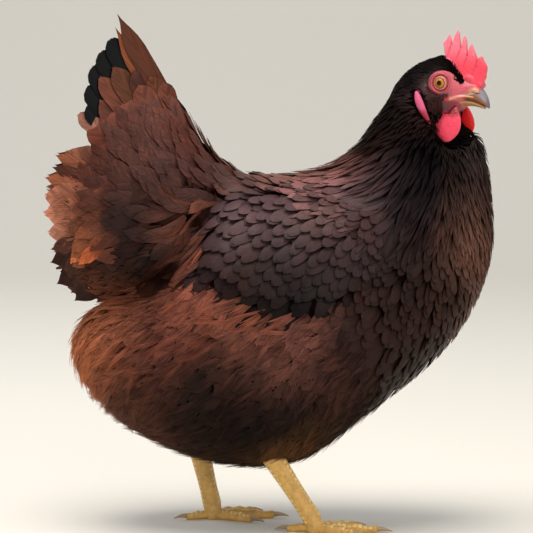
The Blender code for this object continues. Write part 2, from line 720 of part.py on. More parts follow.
# ---- the whole hen -----------------------------------------------------------------------
def main():
    clear_scene()
    hen = collection("hen")
    cutters = collection("cutters", hidden=True)
    looks = {
        "plumage": material("mahogany plumage", (0.075, 0.026, 0.016), 0.6),
        "wing": material("wing coverts", (0.060, 0.024, 0.020), 0.5),
        "hackle": material("dark hackle", (0.018, 0.010, 0.008), 0.5),
        "tail": material("black tail feathers", (0.012, 0.014, 0.018), 0.4),
        "comb": material("red comb and wattles", (0.70, 0.06, 0.08), 0.5),
        "lobe": material("red earlobe", (0.62, 0.10, 0.16), 0.5),
        "eye": material("amber eye", (0.50, 0.20, 0.03), 0.1),
        "beak": material("horn beak", (0.40, 0.22, 0.10), 0.35),
        "leg": material("yellow leg", (0.65, 0.38, 0.08), 0.5),
        "claw": material("horn claw", (0.42, 0.30, 0.18), 0.4),
    }

    trunk, neck = make_trunk_and_neck(looks["plumage"], hen)
    neck.data.materials[0] = looks["hackle"]
    flank = surface_of(trunk)
    head = make_head(looks["hackle"], hen)
    beak_upper = make_beak("beak_upper", BEAK_UPPER, looks["beak"], hen)
    beak_lower = make_beak("beak_lower", BEAK_LOWER, looks["beak"], hen)
    comb = make_comb(looks["comb"], hen)
    coverts = make_coverts(looks["plumage"], hen)

    head_cutter = grown(head, GAP, cutters)
    for piece in (comb, beak_upper, beak_lower):
        cut_with(piece, [head_cutter])
    cut_with(neck, [make_chin_hollow(cutters)])

    for side in (-1, 1):
        eye = make_eye(side, looks["eye"], hen)
        cut_with(head, [grown(eye, GAP, cutters)])
        wattle = make_lobe("wattle", side, looks["comb"], hen)
        cut_with(neck, [grown(wattle, GAP, cutters)])
        cut_with(wattle, [head_cutter, grown(beak_lower, GAP, cutters)])
        earlobe = make_lobe("earlobe", side, looks["lobe"], hen)
        cut_with(neck, [grown(earlobe, GAP, cutters)])
        cut_with(earlobe, [head_cutter])
        wing = make_wing(side, flank, looks["wing"], hen)
        wing_cutter = grown(wing, 1.5 * GAP, cutters)
        cut_with(trunk, [wing_cutter])
        fan = make_tail_fan(side, looks["tail"], hen)
        cut_with(coverts, [wing_cutter, grown(fan, GAP, cutters)])
    cut_with(trunk, [grown(coverts, GAP, cutters)])

    for leg in LEGS.values():
        thigh = make_thigh(leg, looks["plumage"], hen)
        cut_with(trunk, [grown(thigh, GAP, cutters)])
        shank = make_shank(leg, looks["leg"], hen)
        cut_with(trunk, [grown(shank, GAP, cutters)])
        for name in TOES:
            make_toe(leg, name, looks, hen)


main()
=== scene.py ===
# %% [markdown]
# # A standing hen, feather by feather
#
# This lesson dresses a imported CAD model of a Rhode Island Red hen. The CAD solids give the
# true outline, out to the tips of the plumage. Here they become a bird: one bare skin that
# lies a coat's depth inside them, thousands of feathers that grow from that skin and lie
# along the body, and the small hard parts, which are the eyes, bill, scales and claws.
# Every position comes from the CAD frame, so nothing is fitted afterwards.

# %% The CAD frame
import json
import math

import bmesh
import bpy
import numpy as np
from mathutils import Matrix, Vector, noise
from mathutils.bvhtree import BVHTree
from mathutils.kdtree import KDTree

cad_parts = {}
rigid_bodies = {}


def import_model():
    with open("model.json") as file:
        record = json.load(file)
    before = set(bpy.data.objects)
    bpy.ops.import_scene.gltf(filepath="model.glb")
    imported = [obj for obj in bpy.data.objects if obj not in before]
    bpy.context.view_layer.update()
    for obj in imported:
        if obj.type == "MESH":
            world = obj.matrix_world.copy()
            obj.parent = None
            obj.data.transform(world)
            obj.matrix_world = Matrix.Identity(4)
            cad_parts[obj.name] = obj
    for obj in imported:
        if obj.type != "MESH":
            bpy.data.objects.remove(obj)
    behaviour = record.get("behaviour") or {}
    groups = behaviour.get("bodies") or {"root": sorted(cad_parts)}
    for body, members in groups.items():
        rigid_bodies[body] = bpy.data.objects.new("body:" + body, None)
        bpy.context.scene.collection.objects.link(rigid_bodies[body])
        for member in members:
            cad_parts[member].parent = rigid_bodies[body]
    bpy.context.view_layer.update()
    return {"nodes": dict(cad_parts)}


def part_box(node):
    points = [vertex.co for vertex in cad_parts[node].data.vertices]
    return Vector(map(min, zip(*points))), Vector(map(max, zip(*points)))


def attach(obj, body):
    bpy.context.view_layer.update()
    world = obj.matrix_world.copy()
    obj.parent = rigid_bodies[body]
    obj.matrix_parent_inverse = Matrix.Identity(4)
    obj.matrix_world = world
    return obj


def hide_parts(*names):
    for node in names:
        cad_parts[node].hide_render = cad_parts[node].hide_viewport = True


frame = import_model()
nodes = frame["nodes"]
MM = 0.001
UP = Vector((0, 0, 1))

# %% [markdown]
# ## The studio
#
# A museum shows a specimen on a pale sweep, a sheet of board that curves up from the floor
# into a wall, so that no horizon shows. It could be two planes, but the corner between them
# would throw a line behind the legs. One sheet with its corner bevelled is the real thing. It
# is solid to the eye from its front only, so that the bird can be walked round. The light is
# soft and mostly from above, as on an overcast day, which is what draws the pale sheen on the
# back and leaves the belly dark.

# %% Colours, nodes and materials


def linear(hex_colour):
    """An sRGB colour such as "#8a4b2f" as linear red, green and blue."""
    parts = [int(hex_colour[i : i + 2], 16) / 255 for i in (1, 3, 5)]
    return tuple(p / 12.92 if p <= 0.04045 else ((p + 0.055) / 1.055) ** 2.4 for p in parts)


def add_node(tree, kind, settings=None, links=None):
    """Adds a shader node. Settings name its properties or sockets, links name its sockets."""
    node = tree.nodes.new("ShaderNode" + kind)
    for name, value in (settings or {}).items():
        if isinstance(name, int) or name in node.inputs:
            node.inputs[name].default_value = value
        else:
            setattr(node, name, value)
    for name, source in (links or {}).items():
        tree.links.new(source, node.inputs[name])
    return node


def new_material(name, **settings):
    """A material with a Principled shader, and the settings of that shader's sockets."""
    made = bpy.data.materials.new(name)
    made.use_nodes = True
    shader = made.node_tree.nodes["Principled BSDF"]
    for socket, value in settings.items():
        shader.inputs[socket.replace("_", " ")].default_value = value
    return made, made.node_tree, shader


def object_from(name, bm):
    """A bmesh as an object, with its place in its mesh."""
    mesh = bpy.data.meshes.new(name)
    bm.to_mesh(mesh)
    bm.free()
    obj = bpy.data.objects.new(name, mesh)
    bpy.context.scene.collection.objects.link(obj)
    return obj


print("a mid brown in linear light:", [round(part, 3) for part in linear("#8a4b2f")])

# %% Sweep
SWEEP_HALF_WIDTH, SWEEP_FRONT, SWEEP_BACK, SWEEP_HEIGHT = 5.0, -5.0, 3.6, 4.5
SWEEP_BEND, SWEEP_BEND_STEPS = 1.2, 16  # radius of the bend into the wall (m)
bm = bmesh.new()
bmesh.ops.create_grid(bm, x_segments=1, y_segments=1, size=1)
bmesh.ops.scale(bm, vec=(SWEEP_HALF_WIDTH, (SWEEP_BACK - SWEEP_FRONT) / 2, 1), verts=bm.verts)
bmesh.ops.translate(bm, vec=(0, (SWEEP_BACK + SWEEP_FRONT) / 2, 0), verts=bm.verts)
back_edge = [e for e in bm.edges if all(v.co.y > SWEEP_BACK - 0.01 for v in e.verts)]
raised = bmesh.ops.extrude_edge_only(bm, edges=back_edge)["geom"]
raised = [v for v in raised if isinstance(v, bmesh.types.BMVert)]
bmesh.ops.translate(bm, vec=(0, 0, SWEEP_HEIGHT), verts=raised)
bmesh.ops.bevel(
    bm, geom=back_edge, offset=SWEEP_BEND, offset_type="OFFSET", segments=SWEEP_BEND_STEPS,
    profile=0.5, affect="EDGES", material=-1,
)
bmesh.ops.recalc_face_normals(bm, faces=bm.faces)
if min(bm.faces, key=lambda face: face.calc_center_median().z).normal.z < 0:
    bmesh.ops.reverse_faces(bm, faces=bm.faces)
sweep = object_from("sweep", bm)
sweep.data.shade_smooth()
# Card coated matt: no gloss at all, so it only takes the bird's soft shadow.
board, tree, shader = new_material(
    "matt board, pale", Base_Color=(*linear("#e6e2d9"), 1), Roughness=0.9
)
clear = add_node(tree, "BsdfTransparent")
facing = add_node(tree, "NewGeometry")
one_sided = add_node(
    tree, "MixShader", {},
    {0: facing.outputs["Backfacing"], 1: shader.outputs[0], 2: clear.outputs[0]},
)
tree.links.new(one_sided.outputs[0], tree.nodes["Material Output"].inputs["Surface"])
sweep.data.materials.append(board)
print("sweep:", len(sweep.data.polygons), "faces")

# %% Camera
CAMERA_AIM = Vector((-0.0013, 0, 0.225))
CAMERA_DISTANCE = 3.0
CAMERA_HEIGHT_ANGLE = math.radians(5)
VIEW_WIDTH = 0.45838  # how much of the world the picture is wide at the bird (m)
SENSOR = 36.0
camera_data = bpy.data.cameras.new("camera")
camera_data.sensor_width = SENSOR
camera_data.lens = SENSOR * CAMERA_DISTANCE / VIEW_WIDTH
camera = bpy.data.objects.new("camera", camera_data)
looking = Vector((0, math.cos(CAMERA_HEIGHT_ANGLE), -math.sin(CAMERA_HEIGHT_ANGLE)))
camera.location = CAMERA_AIM - looking * CAMERA_DISTANCE
camera.rotation_euler = (math.pi / 2 - CAMERA_HEIGHT_ANGLE, 0, 0)
bpy.context.scene.collection.objects.link(camera)
bpy.context.scene.camera = camera
print("lens", round(camera_data.lens, 1), "mm")

# %% Sky and lamps
world = bpy.data.worlds.new("overcast studio")
world.use_nodes = True
sky = world.node_tree.nodes["Background"].inputs
sky["Color"].default_value = (*linear("#e9edf2"), 1)
sky["Strength"].default_value = 0.6
bpy.context.scene.world = world
bpy.context.scene.view_settings.view_transform = "Standard"

# Each lamp: where it hangs, how big it is (m), its power (W) and its colour.
LIGHTS = {
    "overhead": ((-0.3, -0.5, 2.6), 2.0, 62, "#fff8ee"),
    "front": ((1.2, -2.4, 1.3), 1.6, 18, "#fff6ea"),
    "rim": ((-1.6, 1.4, 1.8), 1.2, 12, "#eef3ff"),
}
for name, (place, size, power, colour) in LIGHTS.items():
    lamp = bpy.data.lights.new(name, "AREA")
    lamp.shape = "DISK"
    lamp.size = size
    lamp.energy = power
    lamp.color = linear(colour)
    light = bpy.data.objects.new(name, lamp)
    light.location = place
    light.rotation_euler = (CAMERA_AIM - light.location).to_track_quat("-Z", "Y").to_euler()
    bpy.context.scene.collection.objects.link(light)
print(len(LIGHTS), "lamps")

# %% [markdown]
# ## The head's own frame
#
# The head is turned to the bird's right. Everything on it is easier to place in a frame of
# its own: ahead along the bill, out to the bird's left, and up, measured from the middle
# between the eyes. The two eyeballs of the CAD model fix that frame exactly.

# %% Head frame


def middle(node):
    """The centre of a CAD node's box."""
    low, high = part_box(node)
    return (low + high) / 2


right_eye, left_eye = middle("eye_right"), middle("eye_left")
leftward = (left_eye - right_eye).normalized()
forward = leftward.cross(UP).normalized()
HEAD = Matrix.Translation((right_eye + left_eye) / 2) @ Matrix(
    (forward, leftward, forward.cross(leftward))
).transposed().to_4x4() @ Matrix.Scale(MM, 4)
TO_HEAD = HEAD.inverted()
print("the head is turned", round(math.degrees(math.atan2(forward.y, forward.x)), 1), "degrees")


def in_head(points):
    """Points (an array, m) in the head's frame (mm)."""
    return points @ np.array(TO_HEAD.to_3x3()).T + np.array(TO_HEAD.translation)


# %% [markdown]
# ## The outer form
#
# The CAD solids are drawn out to the feather tips and are parted by thin cuts. Feathers need
# one unbroken form to lie on. Grown by half a millimetre the solids overlap, a voxel remesh
# fuses them, and smoothing takes out the flat facets. A shrinkwrap would do as much, but it
# needs a ready mesh to wrap, and the remesh makes one.

# %% Copies, modifiers and points of a mesh


def solid_copy(bm, names, grow):
    """Adds merged copies of these CAD nodes, pushed out along their normals."""
    for name in names:
        part = bmesh.new()
        part.from_mesh(nodes[name].data)
        bmesh.ops.remove_doubles(part, verts=part.verts, dist=1e-5)
        part.normal_update()
        for vert in part.verts:
            vert.co += vert.normal * grow
        moved = bpy.data.meshes.new("moved")
        part.to_mesh(moved)
        part.free()
        bm.from_mesh(moved)
        bpy.data.meshes.remove(moved)


def finished(obj):
    """Applies an object's modifiers to its mesh."""
    graph = bpy.context.evaluated_depsgraph_get()
    mesh = bpy.data.meshes.new_from_object(obj.evaluated_get(graph))
    obj.modifiers.clear()
    obj.data = mesh
    return obj


def remeshed(obj, voxel, rounds):
    """Fuses an object's solids on a voxel grid and smooths the result."""
    fuse = obj.modifiers.new("fuse", "REMESH")
    fuse.mode = "VOXEL"
    fuse.voxel_size = voxel
    ease = obj.modifiers.new("ease", "SMOOTH")
    ease.factor = 0.5
    ease.iterations = rounds
    return finished(obj)


def points_of(mesh):
    """A mesh's points as an array (m)."""
    found = np.empty(len(mesh.vertices) * 3, np.float32)
    mesh.vertices.foreach_get("co", found)
    return found.reshape(-1, 3).astype(float)


def normals_of(mesh):
    """A mesh's smooth normals as an array."""
    found = np.empty(len(mesh.vertices) * 3, np.float32)
    mesh.vertex_normals.foreach_get("vector", found)
    return found.reshape(-1, 3).astype(float)


def move_points(mesh, points):
    """Puts a mesh's points at these places."""
    mesh.vertices.foreach_set("co", points.astype(np.float32).ravel())
    mesh.update()


def tree_of(bm):
    """A search tree of a bmesh, which is freed."""
    tree = BVHTree.FromBMesh(bm)
    bm.free()
    return tree


def tree_of_object(obj):
    bm = bmesh.new()
    bm.from_mesh(obj.data)
    return tree_of(bm)


def tree_of_node(name):
    bm = bmesh.new()
    solid_copy(bm, [name], 0)
    return tree_of(bm)


print("the trunk of the CAD model has", len(nodes["trunk"].data.polygons), "faces")

# %% Outer form
FORM_VOXEL = 0.0035
FORM_GROWTH = 0.0006
FORM_SMOOTHING = 14
FORM_REGAIN = 0.0012  # the smoothing draws the round form in by about this
# Feathers bunch up between the wattles where the neck is drawn in: centres and radii (mm).
THROAT_PADS = [((165.5, 0, 338), (14.5, 6.5, 13)), ((165, 0, 323), (15.5, 15, 13.5))]


def throat_pads(bm):
    """Adds the throat's pads, as ellipsoids."""
    for centre, radii in THROAT_PADS:
        pad = Matrix.Translation(Vector(centre) * MM) @ Matrix.Diagonal((*(Vector(radii) * MM), 1))
        bmesh.ops.create_icosphere(bm, subdivisions=3, radius=1, matrix=pad)


SIDES = ("right", "left")
feathered = ["trunk", "neck", "head", "tail_coverts"]
feathered += [part + "_" + side for part in ("wing", "thigh") for side in SIDES]
bm = bmesh.new()
solid_copy(bm, feathered, FORM_GROWTH)
throat_pads(bm)
form = remeshed(object_from("outer_form", bm), FORM_VOXEL, FORM_SMOOTHING)
move_points(form.data, points_of(form.data) + normals_of(form.data) * FORM_REGAIN)
form_tree = tree_of_object(form)
tract_trees = {name: tree_of_node(name) for name in feathered}
print("outer form:", len(form.data.polygons), "faces")

# %% [markdown]
# ## The skin
#
# Under the coat lies one skin. It is closed, and only the comb, wattles, lobes, face and
# legs of it show. Body and neck lie a coat's depth inside the CAD solids, the naked parts on
# their outline. It could be sculpted by hand, but the CAD solids already hold its volumes:
# they are swelled until they touch, fused on a fine grid and smoothed, and then the folds
# are pressed in by distance from named places on the head.

# %% Lofts, tubes and blobs
HEAD_RING = 24  # points round one section of the head


def ring_loft(bm, rings):
    """Bridges rings of points and closes both ends."""
    loops = [[bm.verts.new(point) for point in ring] for ring in rings]
    for one, two in zip(loops, loops[1:]):
        for i in range(len(one)):
            j = (i + 1) % len(one)
            bm.faces.new((one[i], one[j], two[j], two[i]))
    bm.faces.new(loops[0][::-1])
    bm.faces.new(loops[-1])


def head_ring(ahead, top, low, half, skew):
    """A section of the head, wider above than below by the skew."""
    ring = []
    for turn in np.linspace(0, 2 * math.pi, HEAD_RING, endpoint=False):
        up = math.cos(turn)
        side = math.copysign(abs(math.sin(turn)) ** 0.95, math.sin(turn))
        wide = half * (1 - skew * 0.5 + skew * 0.5 * up) * side
        ring.append(HEAD @ Vector((ahead, wide, (top + low) / 2 + up * (top - low) / 2)))
    return ring


def tube(bm, path, radius, sides=8):
    """A closed tube along a path in the head frame (mm), thin at its ends."""
    rings = []
    for number, point in enumerate(path):
        ahead = Vector(path[min(number + 1, len(path) - 1)]) - Vector(path[max(number - 1, 0)])
        turn = ahead.to_track_quat("Z", "Y")
        size = radius * (0.5 if number in (0, len(path) - 1) else 1.0)
        ring = []
        for angle in np.linspace(0, 2 * math.pi, sides, endpoint=False):
            spoke = turn @ Vector((math.cos(angle) * size, math.sin(angle) * size, 0))
            ring.append(HEAD @ (Vector(point) + spoke))
        rings.append(ring)
    ring_loft(bm, rings)


def blob(bm, centre, radii, tilt=0.0, detail=3):
    """An ellipsoid in the head frame (mm), tilted nose up by tilt degrees."""
    place = (
        HEAD @ Matrix.Translation(Vector(centre)) @ Matrix.Rotation(math.radians(-tilt), 4, "Y")
        @ Matrix.Diagonal((*radii, 1))
    )
    bmesh.ops.create_icosphere(bm, subdivisions=detail, radius=1, matrix=place)


def subdivided(obj, levels):
    """Rounds an object off by subdivision."""
    round_off = obj.modifiers.new("round", "SUBSURF")
    round_off.levels = round_off.render_levels = levels
    return finished(obj)


def taken(bm, obj):
    """Moves an object's mesh into a bmesh and deletes the object."""
    bm.from_mesh(obj.data)
    bpy.data.objects.remove(obj)


print("each section of the head has", HEAD_RING, "points")

# %% Flesh of the head
HEAD_STATIONS = [
    (-51, -14, -36, 9, 0.10), (-47, -4, -44, 16, 0.15), (-38, 7.5, -46, 19.5, 0.25),
    (-28, 15, -46, 20, 0.30), (-18, 19.2, -45, 19.8, 0.33), (-8, 22.8, -43, 18.8, 0.34),
    (0, 23.4, -41, 17.6, 0.32), (7, 18.5, -36, 15.6, 0.28), (13, 8.5, -27, 12.4, 0.15),
    (18, 4, -20, 9.4, 0.05), (23, 1.6, -13, 7.4, 0), (28, 0.2, -10.4, 6, 0),
    (31.6, -1.6, -8.6, 4.2, 0), (33.8, -3.6, -6.8, 1.8, 0),
]  # ahead, top, bottom, half width (mm) and how much wider above than below
HEAD_VOXEL = 0.0005
# The mouth's fleshy edge, from its corner forward (head frame, mm), and how thick it is.
FLANGE = [(3.5, 12.0, -15.0), (9, 11.2, -13.2), (15, 10.2, -11.6), (21, 8.9, -11.0),
          (27, 7.3, -11.6), (31, 5.6, -13.0)]
FLANGE_RADIUS = 0.95
# The clefts between the comb's points: their foot and the direction they open in (mm).
COMB_CLEFTS = [
    ((4.7, 32.6), (0.14, 1.0)), ((13.3, 29.6), (0.0, 1.0)), ((19.5, 22.8), (0.04, 1.0)),
    ((28.6, 17.8), (-0.10, 1.0)),
]
CLEFT_FOOT, CLEFT_MOUTH, CLEFT_LENGTH = 0.5, 2.1, 16.0  # half widths and length (mm)
CLEFT_HALF_DEPTH = 6  # more than the comb's half thickness (mm)


def cleft(bm, foot, way):
    """Adds a wedge that cuts one cleft right through the comb's plate."""
    foot, way = Vector((foot[0], 0, foot[1])), Vector((way[0], 0, way[1])).normalized()
    aside = Vector((way.z, 0, -way.x))
    rings = []
    for level in (-CLEFT_HALF_DEPTH, CLEFT_HALF_DEPTH):
        out = Vector((0, level, 0))
        rings.append([
            HEAD @ (foot + aside * half * sign + way * along + out)
            for half, sign, along in (
                (CLEFT_FOOT, -1, 0), (CLEFT_FOOT, 1, 0), (CLEFT_MOUTH, 1, CLEFT_LENGTH),
                (CLEFT_MOUTH, -1, CLEFT_LENGTH),
            )
        ])
    ring_loft(bm, rings)


flesh = bmesh.new()
bm = bmesh.new()
for foot, way in COMB_CLEFTS:
    cleft(bm, foot, way)
bmesh.ops.recalc_face_normals(bm, faces=bm.faces)
clefts = object_from("clefts", bm)
bm = bmesh.new()
ring_loft(bm, [head_ring(*row) for row in HEAD_STATIONS])
bmesh.ops.recalc_face_normals(bm, faces=bm.faces)
taken(flesh, subdivided(object_from("head_form", bm), 2))
NAKED_NODES = ("comb", "wattle_right", "wattle_left", "earlobe_right", "earlobe_left")
for name in NAKED_NODES:
    bm = bmesh.new()
    solid_copy(bm, [name], 0.0005)
    if name == "comb":
        bmesh.ops.triangulate(bm, faces=bm.faces)
        comb_form = object_from(name + "_form", bm)
        cut = comb_form.modifiers.new("clefts", "BOOLEAN")
        cut.operation, cut.object = "DIFFERENCE", clefts
        taken(flesh, finished(comb_form))
        bpy.data.objects.remove(clefts)
    else:
        taken(flesh, subdivided(object_from(name + "_form", bm), 1))
for side in (-1, 1):
    mirror = Vector((1, side, 1))
    tube(flesh, [tuple(Vector(point) * mirror) for point in FLANGE], FLANGE_RADIUS)
    blob(flesh, (28.0, 4.6 * side, -6.6), (5.2, 2.4, 2.6), -18)  # flap over the nostril
blob(flesh, (31.5, 0, -1.0), (4.5, 4.6, 3.4), -30)  # pad between bill and comb
blob(flesh, (22.0, 0, 2.0), (9, 5.2, 6.5), -25)  # foot of the comb
bmesh.ops.recalc_face_normals(flesh, faces=flesh.faces)
head_skin = remeshed(object_from("head_skin", flesh), HEAD_VOXEL, 5)
print("head skin:", len(head_skin.data.polygons), "faces")

# %% Where the head is naked


def smooth_step(values, start, end):
    """0 at the start and 1 at the end, and smooth between."""
    share = np.clip((values - start) / (end - start), 0, 1)
    return share * share * (3 - 2 * share)


def bareness(points, bristly=0.0):
    """1 on the naked face, comb and lobes, 0 under the coat. A bristly edge is wider."""
    f, s, u = points.T
    s = np.abs(s)
    ring = smooth_step(
        ((f - 1.5) / 12.3) ** 2 + ((u - 0.3) / 10.2) ** 2, 1.15 + bristly, 0.9 - bristly
    )
    lores = smooth_step(u - (9.0 - 0.85 * (f - 6.7)), 1 + bristly, -1 - 4 * bristly)
    lores *= smooth_step(f, 5, 7)
    bill = smooth_step(f, 17, 20)
    jowl = smooth_step(np.abs(f - 9.5) / 9.5, 1, 0.85) * smooth_step(np.abs(u + 20) / 7, 1, 0.8)
    lores *= smooth_step(u, -30, -22)
    return np.clip(np.maximum.reduce([ring * (s > 6), lores, bill, jowl * (s > 5)]), 0, 1)


naked = {name: tree_of_node(name) for name in NAKED_NODES}
NAKED_REACH = 0.0012  # how near to a naked solid the skin is that solid's (m)


def near(tree, points, reach):
    """1 within this reach (m) of a solid's surface, falling to 0 at twice the reach."""
    gaps = []
    for point in points:
        found = tree.find_nearest(Vector(point), 2 * reach)
        gaps.append(2 * reach if found[0] is None else found[3])
    return smooth_step(np.array(gaps), 2 * reach, reach)


def grain(points, scale, seed):
    """Noise from -1 to 1 at world points, with cells of this size (m)."""
    offset = Vector((seed, seed, seed))
    return np.array([noise.noise(Vector(point) / scale + offset) for point in points])


def pebbles(points, scale):
    """0 between pebbles and 1 on their tops."""
    gaps = [noise.voronoi(Vector(point) / scale)[0] for point in points]
    return np.array([1 - min(1.0, gap[0] / 0.75) ** 2 for gap in gaps])


def from_head(points):
    """Points (an array) in the head's frame (mm), as world points (m)."""
    return points @ np.array(HEAD.to_3x3()).T + np.array(HEAD.translation)


places = points_of(head_skin.data)
normals = normals_of(head_skin.data)
p = in_head(places)
combness, near_wattle, far_wattle, right_lobe, left_lobe = (
    near(naked[name], places, NAKED_REACH) for name in NAKED_NODES
)
lobeness = np.maximum(right_lobe, left_lobe)
fleshy = np.maximum.reduce([combness, near_wattle, far_wattle, lobeness])
bare = np.maximum(bareness(p), fleshy)
eye_gap = np.hypot(p[:, 0], p[:, 2])
beside = (np.abs(p[:, 1]) > 7) & (fleshy < 0.5)
print("naked share of the head's skin:", round(float((bare > 0.5).mean()), 2))

# %% Pressing the folds in
EYE_OUT, EYE_RADIUS = 10.2, 6.75  # the ball's centre beside the middle, and its radius (mm)
LID_OPENING = 4.5
FACE_FOLDS = [(6.9, -0.35, 0.5), (7.9, 0.28, 0.6), (9.0, -0.22, 0.5), (10.1, 0.2, 0.6)]
# (radius, height and half width of each ring about the eye, mm)
HEAD_COAT_DEPTH = 1.2
COMB_PEBBLE, FLESH_WRINKLE = 0.24, 0.22  # how far they stand out (mm)
FURROW_DEPTH, FURROW_HALF_WIDTH, FURROW_LEAN = 0.55, 0.9, 0.35
rise = -HEAD_COAT_DEPTH * (1 - bare)
rise += COMB_PEBBLE * combness * (pebbles(places, 0.0019) - 0.5)
furrow = np.zeros(len(p))
for (foot_ahead, foot_up), _ in COMB_CLEFTS:
    below = foot_up - p[:, 2]
    aside = p[:, 0] - (foot_ahead - FURROW_LEAN * below)
    here = smooth_step(below, -3, 0.5) * smooth_step(below, 15, 3)
    furrow = np.maximum(furrow, here * np.exp(-((aside / FURROW_HALF_WIDTH) ** 2)))
furrow *= combness
rise -= FURROW_DEPTH * furrow
rise += FLESH_WRINKLE * np.maximum(near_wattle, far_wattle) * grain(places, 0.0011, 3)
rise += FLESH_WRINKLE * bare * (1 - fleshy) * grain(places * np.array([1, 1, 1.8]), 0.0014, 5)
for radius, height, half in FACE_FOLDS:
    wobble = radius + 0.25 * np.sin(3 * np.arctan2(p[:, 2], p[:, 0]) + radius)
    rise += beside * height * np.exp(-(((eye_gap - wobble) / half) ** 2))
rise += beside * 0.5 * np.exp(-(((eye_gap - 8) / 3) ** 2)) * smooth_step(p[:, 2], 1, 6)  # brow
moved = in_head(places + normals * rise[:, None] * MM)
# Round the opening the skin follows the ball: over it at the lid's edge, under it inside.
ball = EYE_OUT + np.sqrt(np.clip(EYE_RADIUS**2 - eye_gap**2, 0, None))
over = -1.6 + 2.3 * smooth_step(eye_gap, LID_OPENING - 0.3, LID_OPENING + 0.45)
over -= 0.35 * smooth_step(eye_gap, 5.4, 6.2)
hold = beside * smooth_step(eye_gap, 8.0, 5.8)
moved[:, 1] = moved[:, 1] * (1 - hold) + np.sign(p[:, 1]) * (ball + over) * hold
move_points(head_skin.data, from_head(moved))
print("the skin rises by", round(rise.min(), 2), "to", round(rise.max(), 2), "mm")

# %% Colours of the naked skin
# Several of these colours are painted light and shade, as said where each is laid on.
SKIN_COLOURS = {
    "under coat": "#1c1210", "face": "#cc5a68", "lid": "#d39384", "fold": "#97403f",
    "comb": "#fa4a60", "comb top, painted glow": "#ff8296", "near wattle, painted sheen": "#ee4660", "far wattle, painted glow": "#ff2228",
    "furrow": "#d6263f", "lobe": "#cf5a80", "painted lobe highlight": "#e0479c", "lobe foot": "#a3243c",
    "lobe rim": "#f0a3bd", "painted shade at the wattle's foot": "#8e1626",
    "cheek": "#4d2f2e", "dusk": "#6a3c40", "flange": "#e39a86", "gape": "#c93440",
    "jowl": "#7d2430", "slit": "#2a1414", "flap": "#cf9578", "throat": "#5b1f22",
}


def washed(count, palette, ground, washes):
    """Colours of this many points: the palette's ground colour, and then its other colours
    laid over it one after the other, each by the weight of every point."""
    tint = np.tile(linear(palette[ground]), (count, 1))
    for colour, weight in washes:
        weight = np.clip(weight, 0, 1)[:, None]
        tint = tint * (1 - weight) + np.array(linear(palette[colour])) * weight
    return tint


def around(points, centre, radii):
    """1 at a place on either side of the head, falling smoothly to 0 at these radii (mm)."""
    gap = (np.abs(points * np.array([0, 1, 0])) + points * np.array([1, 0, 1])) - centre
    return smooth_step(np.linalg.norm(gap / radii, axis=1), 1, 0.4)


line = np.interp(p[:, 0], [row[0] for row in FLANGE], [row[2] for row in FLANGE])
plain = 1 - fleshy
tint = washed(len(p), SKIN_COLOURS, "under coat", [
    ("face", bare * plain),
    ("cheek", around(p, (-5, 16, -17), (13, 12, 9)) * 0.95),
    ("dusk", beside * plain * 0.9 * smooth_step(eye_gap, 7.0, 11.0)
     * smooth_step(eye_gap, 16, 12) * smooth_step(p[:, 2], 8, 3)
     * smooth_step(p[:, 0] + 0.6 * p[:, 2], 9, -2)),
    # Painted shade: darker rings about the eye, in the hollows between the pressed folds.
    ("fold", beside * smooth_step(np.cos(eye_gap * 2.9), 0.1, 0.9)
     * smooth_step(eye_gap, 11.5, 9.5) * (eye_gap > 5.6) * 0.9),
    ("lid", beside * smooth_step(np.abs(eye_gap - 5.1), 0.8, 0.35)),
    ("gape", around(p, (5, 12, -15), (7, 7, 4.4))),
    # Painted shadow: dark red under the mouth's fleshy edge, down towards the wattle.
    ("jowl", around(p, (8, 10, -20.5), (14, 10, 9)) * plain),
    ("cheek", around(p, (-1, 14, -19), (9.5, 8, 9)) * plain * 0.9),
    ("flange", smooth_step(np.abs(p[:, 2] - line - 0.2), 1.9, 0.8)
     * smooth_step(p[:, 0], 5.5, 9.5) * bare * plain),
    ("flap", around(p, (28, 5.5, -6.6), (7.5, 5, 4.2))),
    ("slit", around(p, (30.2, 6.3, -9.3), (4.2, 4, 1.5))),
    # Painted shade: the bare throat is painted dark red under the chin, between the wattles.
    ("throat", around(p, (14, 0, -28), (14, 9, 12)) * plain),
    ("comb", combness),
    # Painted light: the comb is painted paler towards its top, for light shining through its thin
    # points.
    ("comb top, painted glow", combness * smooth_step(p[:, 2], 12, 34)),
    # Painted shade: the comb's grooves, which are also pressed in, are painted darker red.
    ("furrow", 0.6 * furrow),
    # Painted light: the near wattle is painted pinker for the sky's sheen on it, and the far wattle
    # brighter red for light shining through it while it stands in shade.
    ("near wattle, painted sheen", near_wattle),
    # Painted shade: the near wattle is painted darker at its top, where the jaw shades it.
    ("painted shade at the wattle's foot", near_wattle * smooth_step(p[:, 2], -31, -24)),
    ("far wattle, painted glow", far_wattle),
    ("lobe", lobeness),
    # Painted highlight: a brighter magenta patch in the middle of each lobe.
    ("painted lobe highlight", lobeness * around(p, (-22, 20, -14), (4, 9, 7.5))),
    ("lobe foot", lobeness * smooth_step(p[:, 2], -20, -26)),
    ("lobe rim", lobeness * around(p, (-25, 20, -12), (3.2, 9, 10)) * 0.8),
])
head_bare = bare


def set_tint(mesh, colours):
    """Gives each point of a mesh its colour."""
    layer = mesh.attributes.new("tint", "FLOAT_COLOR", "POINT")
    colours = np.concatenate([colours, np.ones((len(colours), 1))], axis=1)
    layer.data.foreach_set("color", colours.astype(np.float32).ravel())


set_tint(head_skin.data, tint)
print(len(SKIN_COLOURS), "colours on the naked head")

